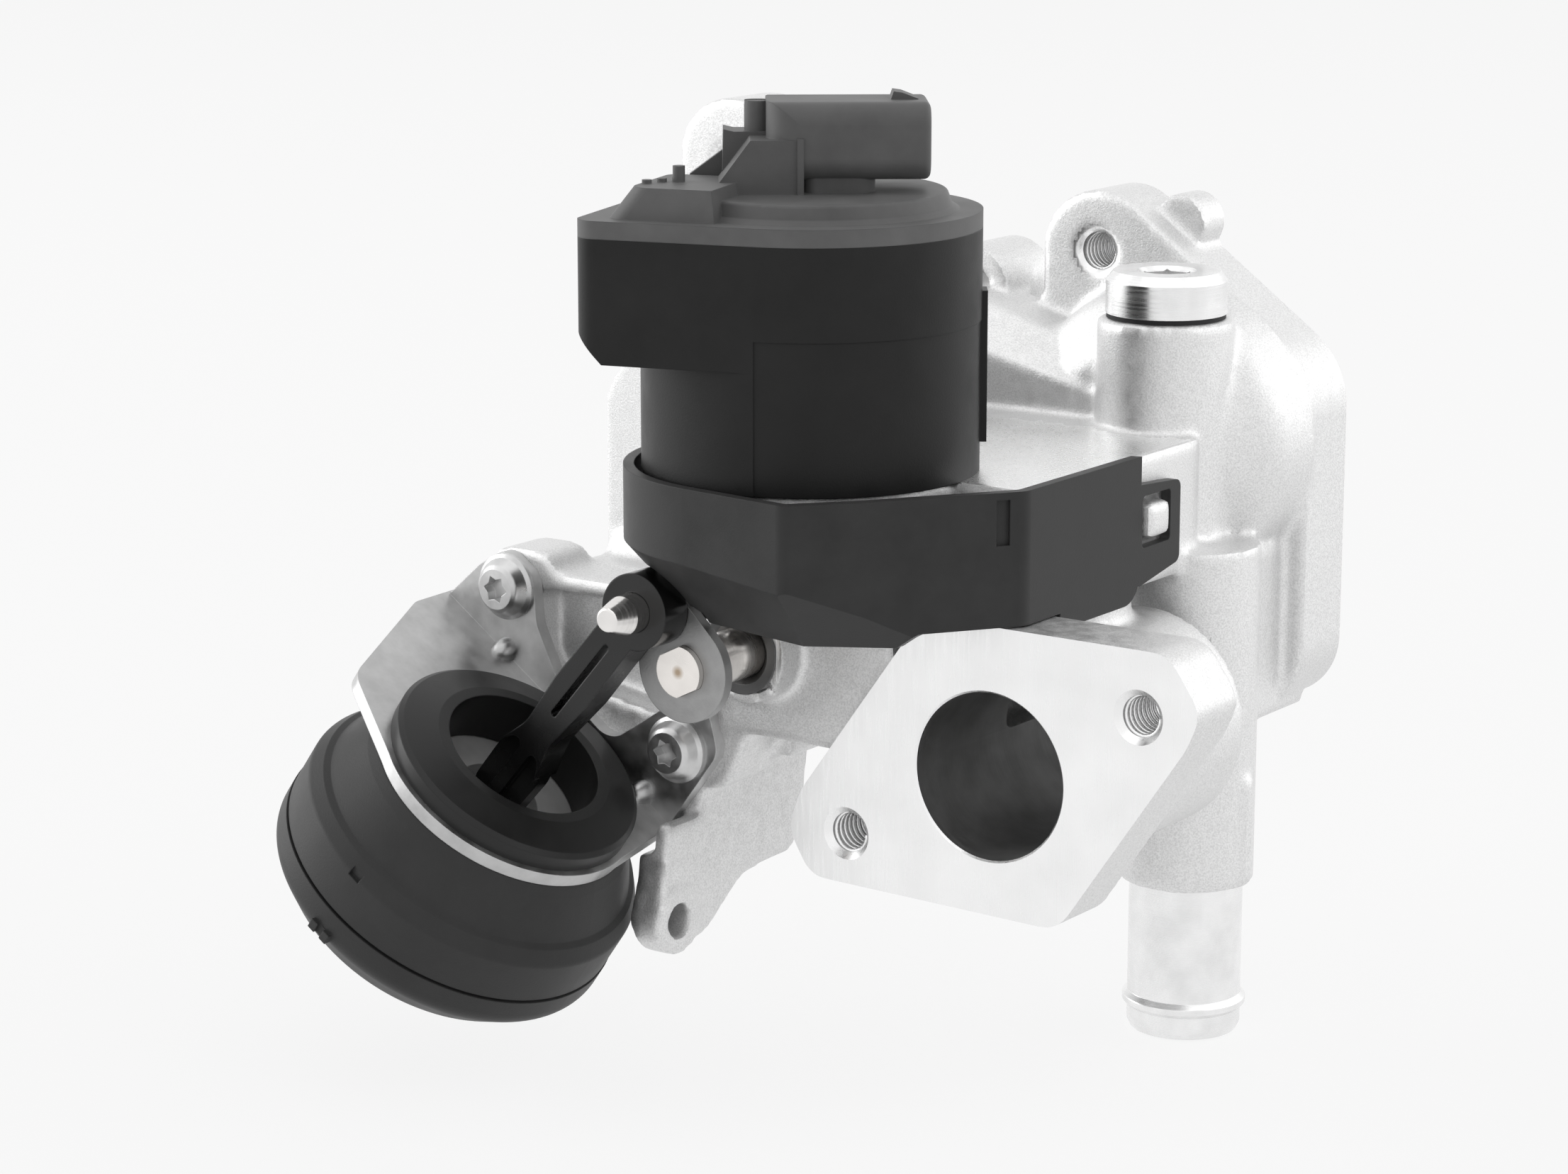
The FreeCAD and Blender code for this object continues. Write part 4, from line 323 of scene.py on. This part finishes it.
def plain(name, colour, gloss, metallic=0.0, specular=0.5, pit=0.01):
    """small inner pieces: one colour with a little cloud and grain"""
    material = fresh_material(name, colour, gloss, metallic, specular)
    cloud = grain(material, 4.0, 2.0, 0.5)
    dark = tuple(c * 0.88 for c in colour)
    light = tuple(min(c * 1.1, 0.95) for c in colour)
    colours = tint(material, cloud, dark, light)
    roughness = spread(material, cloud, gloss - 0.05, gloss + 0.05)
    return finish_with(material, colours, roughness, relief(material, [(grain(material, 0.8), pit)]))


CAST = casting()
MILLED = machined()
# painted shade: a dark material for the inside of the inlet passage and the bolt holes
BORE_SHADE = bore_shade_material()
FINISHES = {
    "turned_aluminium": turned("turned_aluminium", 0.87, 0.27, 0.35, ALONG_Z),
    "polished_pin": turned("polished_pin", 0.78, 0.2, 0.3, ALONG_Y, 0.02),
    "polished_shaft": staked_shaft(),
    "steel": satin("ground_steel", 0.66, 0.3),
    "zinc": satin("zinc_plating", 0.6, 0.34, 0.012),
    "sheet": satin("stamped_sheet", 0.52, 0.38, 0.014, size=0.9),
    "blasted": satin("blasted_steel", 0.34, 0.46, 0.03, size=0.4),
    "dull": satin("dull_steel", 0.16, 0.45, 0.02),
    "spring": satin("spring_wire", 0.5, 0.42, 0.02),
    "bronze": plain("sintered_bronze", (0.55, 0.4, 0.22), 0.45, 1.0, pit=0.02),
    "tin": plain("tinned_blades", (0.76, 0.74, 0.68), 0.25, 1.0),
    "ferrite": plain("ferrite", (0.1, 0.1, 0.11), 0.6),
    "board": plain("circuit_board", (0.03, 0.16, 0.08), 0.4),
    "body": moulding("body_moulding", 0.019, 0.42, 0.2),
    "lid": moulding("lid_moulding", 0.15, 0.5, 0.3, 0.015),
    "shroud": moulding("shroud_moulding", 0.044, 0.44, 0.2, 0.018),
    "pod": moulding("pod_moulding", 0.042, 0.5, 0.28, 0.035),
    "collar": moulding("collar_moulding", 0.012, 0.36, 0.35, 0.008),
    "rod": moulding("rod_moulding", 0.008, 0.26, 0.45, 0.006, 0.35),
    "pale": moulding("pale_moulding", 0.52, 0.45, 0.4, 0.008),
    "gear": moulding("gear_moulding", 0.6, 0.42, 0.4, 0.006, 0.15),
    "rubber": plain("seal_rubber", (0.02, 0.02, 0.021), 0.6, specular=0.3, pit=0.006),
}

WORN_BY = {
    "turned_aluminium": ["coolant_nipple", "plug_screw"],
    "polished_pin": ["lever_pin"],
    "polished_shaft": ["flap_shaft"],
    "steel": ["valve_poppet", "valve_stem", "valve_seat", "guide_pin", "idler_pin", "motor_bearings",
              "gear_bearing", "motor_rotor", "motor_can", "gear_plate", "bypass_flap", "flap_screws",
              "stem_guide"],
    "zinc": ["bracket_screws", "actuator_screws"],
    "sheet": ["pod_bracket", "spring_retainer"],
    "blasted": ["lever_plate"],
    "spring": ["valve_spring", "pod_spring"],
    "bronze": ["flap_bushes", "motor_pinion"],
    "tin": ["connector_pins"],
    "ferrite": ["motor_magnets", "sensor_magnet"],
    "board": ["sensor_board"],
    "body": ["actuator_body"],
    "lid": ["actuator_lid"],
    "shroud": ["heat_shroud"],
    "pod": ["pod_shell", "pod_cap"],
    "collar": ["pod_collar"],
    "rod": ["link_rod"],
    "pale": ["diaphragm_plate", "brush_card"],
    "gear": ["output_gear", "idler_gear"],
    "dull": ["shaft_seal"],
    "rubber": ["plug_seal", "lid_seal", "actuator_seal", "stem_seal", "diaphragm"],
}


def dress_frame():
    """every CAD node gets its material; what isn't listed is cast"""
    worn = {name: FINISHES[finish] for finish, names in WORN_BY.items() for name in names}
    for name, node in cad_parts.items():
        node.data.materials.clear()
        node.data.materials.append(worn.get(name, CAST))


# Mesh tools

def new_piece(name, bm, materials, smooth=True):
    mesh = bpy.data.meshes.new(name)
    bm.to_mesh(mesh)
    bm.free()
    for material in materials:
        mesh.materials.append(material)
    mesh.polygons.foreach_set("use_smooth", [smooth] * len(mesh.polygons))
    piece = bpy.data.objects.new(name, mesh)
    bpy.context.scene.collection.objects.link(piece)
    return piece


def modify(piece, modifiers):
    """put modifiers on the piece and apply them"""
    for kind, values in modifiers:
        modifier = piece.modifiers.new(kind.lower(), kind)
        for key, value in values.items():
            setattr(modifier, key, value)
    bpy.context.view_layer.update()
    graph = bpy.context.evaluated_depsgraph_get()
    mesh = bpy.data.meshes.new_from_object(piece.evaluated_get(graph))
    piece.modifiers.clear()
    old = piece.data
    piece.data = mesh
    bpy.data.meshes.remove(old)


def bores():
    """the cutter's profile for each bore along Y: centre x and z, and (radius, y) corners"""
    mouth = INLET_R + INLET_CHAMFER
    past_rear = REAR_Y + TOOL_OVERRUN
    found = [(0, 0, [(mouth, TOOL_FRONT), (mouth, 0), (INLET_R, INLET_CHAMFER), (INLET_R, INLET_END)])]
    for x, z in FLANGE_BOLTS:
        found.append((x, z, [(BOLT_MOUTH_R, TOOL_FRONT), (BOLT_MOUTH_R, 0), (BOLT_R, BOLT_MOUTH_DEPTH),
                             (BOLT_R, FLANGE_T + 0.6)]))
    back = REAR_Y - REAR_T
    for x, z in REAR_BOLTS:
        found.append((x, z, [(BOLT_MOUTH_R, back - 3), (BOLT_MOUTH_R, back),
                             (BOLT_R, back + BOLT_MOUTH_DEPTH), (BOLT_R, past_rear)]))
    found.append((SHAFT_X, SHAFT_Z, [(SEAL_R, TOOL_FRONT), (SEAL_R, SEAL_SEAT_END)]))
    for x, z in PORTS:
        found.append((x, z, [(PORT_R, PORT_START), (PORT_R, past_rear)]))
    return found


def off_axis_y(place, x, z):
    return math.hypot(place.x / MM - x, place.z / MM - z)


def leave_stock(bm, cuts):
    """faces and bores stand proud of their finished places until they are cut"""
    (left, _, low), (right, _, high) = MILLED_BOXES[0]
    for vert in bm.verts:
        x, y, z = vert.co / MM
        if abs(y - FLANGE_Y) < 0.01 and left < x < right and low < z < high:
            vert.co.y -= CUT_ALLOWANCE * MM
        elif abs(y - REAR_Y) < 0.01:
            vert.co.y += CUT_ALLOWANCE * MM
        for centre_x, centre_z, profile in cuts:
            radius, end = profile[-1]
            away = math.hypot(x - centre_x, z - centre_z)
            if abs(away - radius) < 0.06 and profile[0][1] - 0.1 < y < end + 0.2:
                kept = (radius - BORE_ALLOWANCE) / away
                vert.co.x = (centre_x + (x - centre_x) * kept) * MM
                vert.co.z = (centre_z + (z - centre_z) * kept) * MM
                break


def milling_tools():
    """boxes whose sides are the milled faces"""
    bm = bmesh.new()
    for low, high in MILLED_BOXES:
        made = bmesh.ops.create_cube(bm, size=MM)["verts"]
        size = [b - a for a, b in zip(low, high)]
        bmesh.ops.scale(bm, verts=made, vec=size)
        middle = [(a + b) / 2 for a, b in zip(low, high)]
        bmesh.ops.translate(bm, verts=made, vec=millimetres(*middle))
    return new_piece("milling_tools", bm, [MILLED], smooth=False)


def boring_tools(cuts):
    """one mesh of all the boring tools"""
    whole = bmesh.new()
    for x, z, profile in cuts:
        bm = bmesh.new()
        line = [(0, profile[0][1])] + profile + [(0, profile[-1][1])]
        corners = [bm.verts.new(millimetres(radius, y, 0)) for radius, y in line]
        edges = [bm.edges.new(pair) for pair in zip(corners, corners[1:])]
        bmesh.ops.spin(bm, geom=corners + edges, cent=(0, 0, 0), axis=(0, 1, 0), angle=2 * math.pi,
                       steps=BORE_STEPS, use_merge=True, use_duplicate=False)
        bmesh.ops.remove_doubles(bm, verts=bm.verts[:], dist=1e-7)
        bmesh.ops.recalc_face_normals(bm, faces=bm.faces[:])
        bmesh.ops.translate(bm, verts=bm.verts[:], vec=millimetres(x, 0, z))
        tool = bpy.data.meshes.new("tool")
        bm.to_mesh(tool)
        bm.free()
        whole.from_mesh(tool)
        bpy.data.meshes.remove(tool)
    return new_piece("boring_tools", whole, [MILLED])


def finish_of(face, cuts):
    """which material a face of the casting wears"""
    middle = face.calc_center_median()
    y = middle.y / MM
    if abs(y - FLANGE_Y) < 0.02 and face.normal.y < -0.99:
        return 1
    if abs(y - REAR_Y) < 0.02 and face.normal.y > 0.99:
        return 1
    # index 2 is the painted shade for faces inside the inlet passage and the bolt holes
    if 0.5 < y < PASSAGE_END and off_axis_y(middle, 0, 0) < INLET_R + 0.2:
        return 2
    for x, z, profile in cuts:
        widest = max(radius for radius, _ in profile)
        away = off_axis_y(middle, x, z)
        if profile[0][1] < y < profile[-1][1] and away < widest + 0.1:
            return 2 if away < BOLT_R + 0.05 else 1
    on_deck = abs(middle.z / MM - DECK_Z) < 0.35 and y < DECK_END
    return 1 if on_deck and face.normal.z > 0.97 else 0


def cut_away(piece, tools):
    modify(piece, [("BOOLEAN", {"operation": "DIFFERENCE", "object": tools, "solver": "MANIFOLD"})])
    bpy.data.objects.remove(tools)


def make_casting():
    """the housing with the soft corners of a casting and crisp machined faces"""
    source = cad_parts["valve_housing"]
    bm = bmesh.new()
    bm.from_mesh(source.data)
    bmesh.ops.remove_doubles(bm, verts=bm.verts, dist=2e-6)
    cuts = bores()
    leave_stock(bm, cuts)
    # the third material is the painted shade inside the bores
    piece = new_piece("housing_casting", bm, [CAST, MILLED, BORE_SHADE])
    modify(piece, [("REMESH", {"mode": "VOXEL", "voxel_size": VOXEL * MM, "use_smooth_shade": True}),
                   ("SMOOTH", {"factor": 0.5, "iterations": SMOOTH_ROUNDS}),
                   ("DECIMATE", {"ratio": KEPT_SHARE})])
    cut_away(piece, milling_tools())
    cut_away(piece, boring_tools(cuts))
    bm = bmesh.new()
    bm.from_mesh(piece.data)
    for face in bm.faces:
        face.smooth = True
        face.material_index = finish_of(face, cuts)
    for edge in bm.edges:
        if len(edge.link_faces) == 2 and edge.calc_face_angle(0) > SHARP_ANGLE:
            edge.smooth = False
    bm.to_mesh(piece.data)
    bm.free()
    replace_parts(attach(piece, "root"), "valve_housing")


def make_thread(name, start, depth):
    """ridge of an inner thread that runs backwards from a hole's mouth"""
    bm = bmesh.new()
    turns = int(depth / THREAD_PITCH)
    crest = BOLT_R - THREAD_HEIGHT
    root = BOLT_R + THREAD_ROOT
    half = THREAD_PITCH * 0.42
    profile = [(root, -half), (crest, -CREST_HALF), (crest, CREST_HALF), (root, half)]
    corners = [bm.verts.new(millimetres(r, h, 0)) for r, h in profile]
    edges = [bm.edges.new((corners[i], corners[(i + 1) % 4])) for i in range(4)]
    bmesh.ops.spin(bm, geom=corners + edges, cent=(0, 0, 0), axis=(0, 1, 0),
                   dvec=(0, THREAD_PITCH * MM / THREAD_STEPS, 0), angle=2 * math.pi * turns,
                   steps=THREAD_STEPS * turns, use_duplicate=False)
    bmesh.ops.holes_fill(bm, edges=bm.edges[:], sides=4)
    bmesh.ops.recalc_face_normals(bm, faces=bm.faces[:])
    bmesh.ops.translate(bm, verts=bm.verts[:], vec=start)
    piece = new_piece(name, bm, [MILLED])
    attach(piece, "root")


def make_threads():
    """the fifth rear hole, between the two upper ones, has no thread"""
    for index, (x, z) in enumerate(FLANGE_BOLTS):
        start = millimetres(x, FLANGE_THREAD_START, z)
        make_thread(f"flange_thread_{index + 1}", start, FLANGE_THREAD_DEPTH)
    for index, (x, z) in enumerate(REAR_BOLTS[:4]):
        start = millimetres(x, REAR_Y - REAR_T + REAR_THREAD_START, z)
        make_thread(f"rear_thread_{index + 1}", start, REAR_THREAD_DEPTH)


def make_gussets():
    """two dimples pressed across the bend of the pod's bracket"""
    tilt = Matrix.Rotation(math.radians(POD_TILT), 4, "Y")
    for index, x in enumerate(GUSSET_X):
        bm = bmesh.new()
        bmesh.ops.create_uvsphere(bm, u_segments=32, v_segments=16, radius=MM)
        bmesh.ops.scale(bm, verts=bm.verts[:], vec=GUSSET_SIZE)
        bmesh.ops.translate(bm, verts=bm.verts[:], vec=millimetres(x, BEND_Y - POD_PLACE[1], BEND_S))
        bmesh.ops.transform(bm, verts=bm.verts[:], matrix=tilt)
        bmesh.ops.translate(bm, verts=bm.verts[:], vec=millimetres(*POD_PLACE))
        piece = new_piece(f"bracket_gusset_{index + 1}", bm, [FINISHES["sheet"]])
        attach(piece, "root")


# Studio

def background_white(tree):
    """white for the camera and in reflections, over the given lighting"""
    path = tree.nodes.new("ShaderNodeLightPath")
    seen = None
    for ray in ("Is Camera Ray", "Is Glossy Ray", "Is Transmission Ray"):
        if seen is None:
            seen = path.outputs[ray]
            continue
        most = tree.nodes.new("ShaderNodeMath")
        most.operation = "MAXIMUM"
        tree.links.new(seen, most.inputs[0])
        tree.links.new(path.outputs[ray], most.inputs[1])
        seen = most.outputs[0]
    return seen


def make_world():
    world = bpy.data.worlds.new("studio")
    bpy.context.scene.world = world
    world.use_nodes = True
    tree = world.node_tree
    light = tree.nodes["Background"]
    light.inputs["Color"].default_value = (1, 1, 1, 1)
    light.inputs["Strength"].default_value = WORLD_LIGHT
    white = tree.nodes.new("ShaderNodeBackground")
    white.inputs["Color"].default_value = (1, 1, 1, 1)
    white.inputs["Strength"].default_value = 1.0
    mix = tree.nodes.new("ShaderNodeMixShader")
    tree.links.new(background_white(tree), mix.inputs["Fac"])
    tree.links.new(light.outputs["Background"], mix.inputs[1])
    tree.links.new(white.outputs["Background"], mix.inputs[2])
    tree.links.new(mix.outputs["Shader"], tree.nodes["World Output"].inputs["Surface"])


def make_floor():
    low = CAD_BOX[0].z
    bm = bmesh.new()
    bmesh.ops.create_circle(bm, cap_ends=True, segments=64, radius=FLOOR_R)
    bmesh.ops.translate(bm, verts=bm.verts[:], vec=(0, 0, low - FLOOR_GAP))
    material = bpy.data.materials.new("pale_floor")
    material.use_nodes = True
    tree = material.node_tree
    surface = tree.nodes["Principled BSDF"]
    surface.inputs["Base Color"].default_value = (*grey(FLOOR_GREY), 1)
    surface.inputs["Roughness"].default_value = 0.9
    surface.inputs["Specular IOR Level"].default_value = 0.1
    glow = tree.nodes.new("ShaderNodeEmission")
    glow.inputs["Strength"].default_value = 1.0
    share = tree.nodes.new("ShaderNodeMath")
    share.operation = "MULTIPLY"
    share.inputs[1].default_value = FLOOR_GLOW
    tree.links.new(background_white(tree), share.inputs[0])
    mix = tree.nodes.new("ShaderNodeMixShader")
    tree.links.new(share.outputs[0], mix.inputs["Fac"])
    tree.links.new(surface.outputs["BSDF"], mix.inputs[1])
    tree.links.new(glow.outputs["Emission"], mix.inputs[2])
    tree.links.new(mix.outputs["Shader"], tree.nodes["Material Output"].inputs["Surface"])
    floor = new_piece("floor", bm, [material])


def make_lamp(name, azimuth, elevation, distance, size, power):
    """soft panel at an azimuth round the object, aimed at its middle"""
    data = bpy.data.lights.new(name, "AREA")
    data.shape = "SQUARE"
    data.size = size
    data.energy = power
    lamp = bpy.data.objects.new(name, data)
    bpy.context.scene.collection.objects.link(lamp)
    away = away_at(azimuth, elevation)
    middle = (CAD_BOX[0] + CAD_BOX[1]) / 2
    lamp.location = middle + away * distance
    lamp.rotation_mode = "QUATERNION"
    lamp.rotation_quaternion = (-away).to_track_quat("-Z", "Y")


def make_camera():
    data = bpy.data.cameras.new("camera")
    data.sensor_width = 36.0
    data.lens = LENS
    data.clip_start = 0.01
    data.clip_end = 50
    camera = bpy.data.objects.new("camera", data)
    bpy.context.scene.collection.objects.link(camera)
    camera.location = CAMERA_PLACE
    camera.rotation_mode = "QUATERNION"
    away = away_at(CAMERA_AZIMUTH, CAMERA_ELEVATION)
    camera.rotation_quaternion = (-away).to_track_quat("-Z", "Y")
    bpy.context.scene.camera = camera


dress_frame()
make_casting()
make_threads()
make_gussets()
make_world()
make_floor()
for lamp_values in LAMPS:
    make_lamp(*lamp_values)
make_camera()
bpy.context.scene.view_settings.view_transform = "Standard"
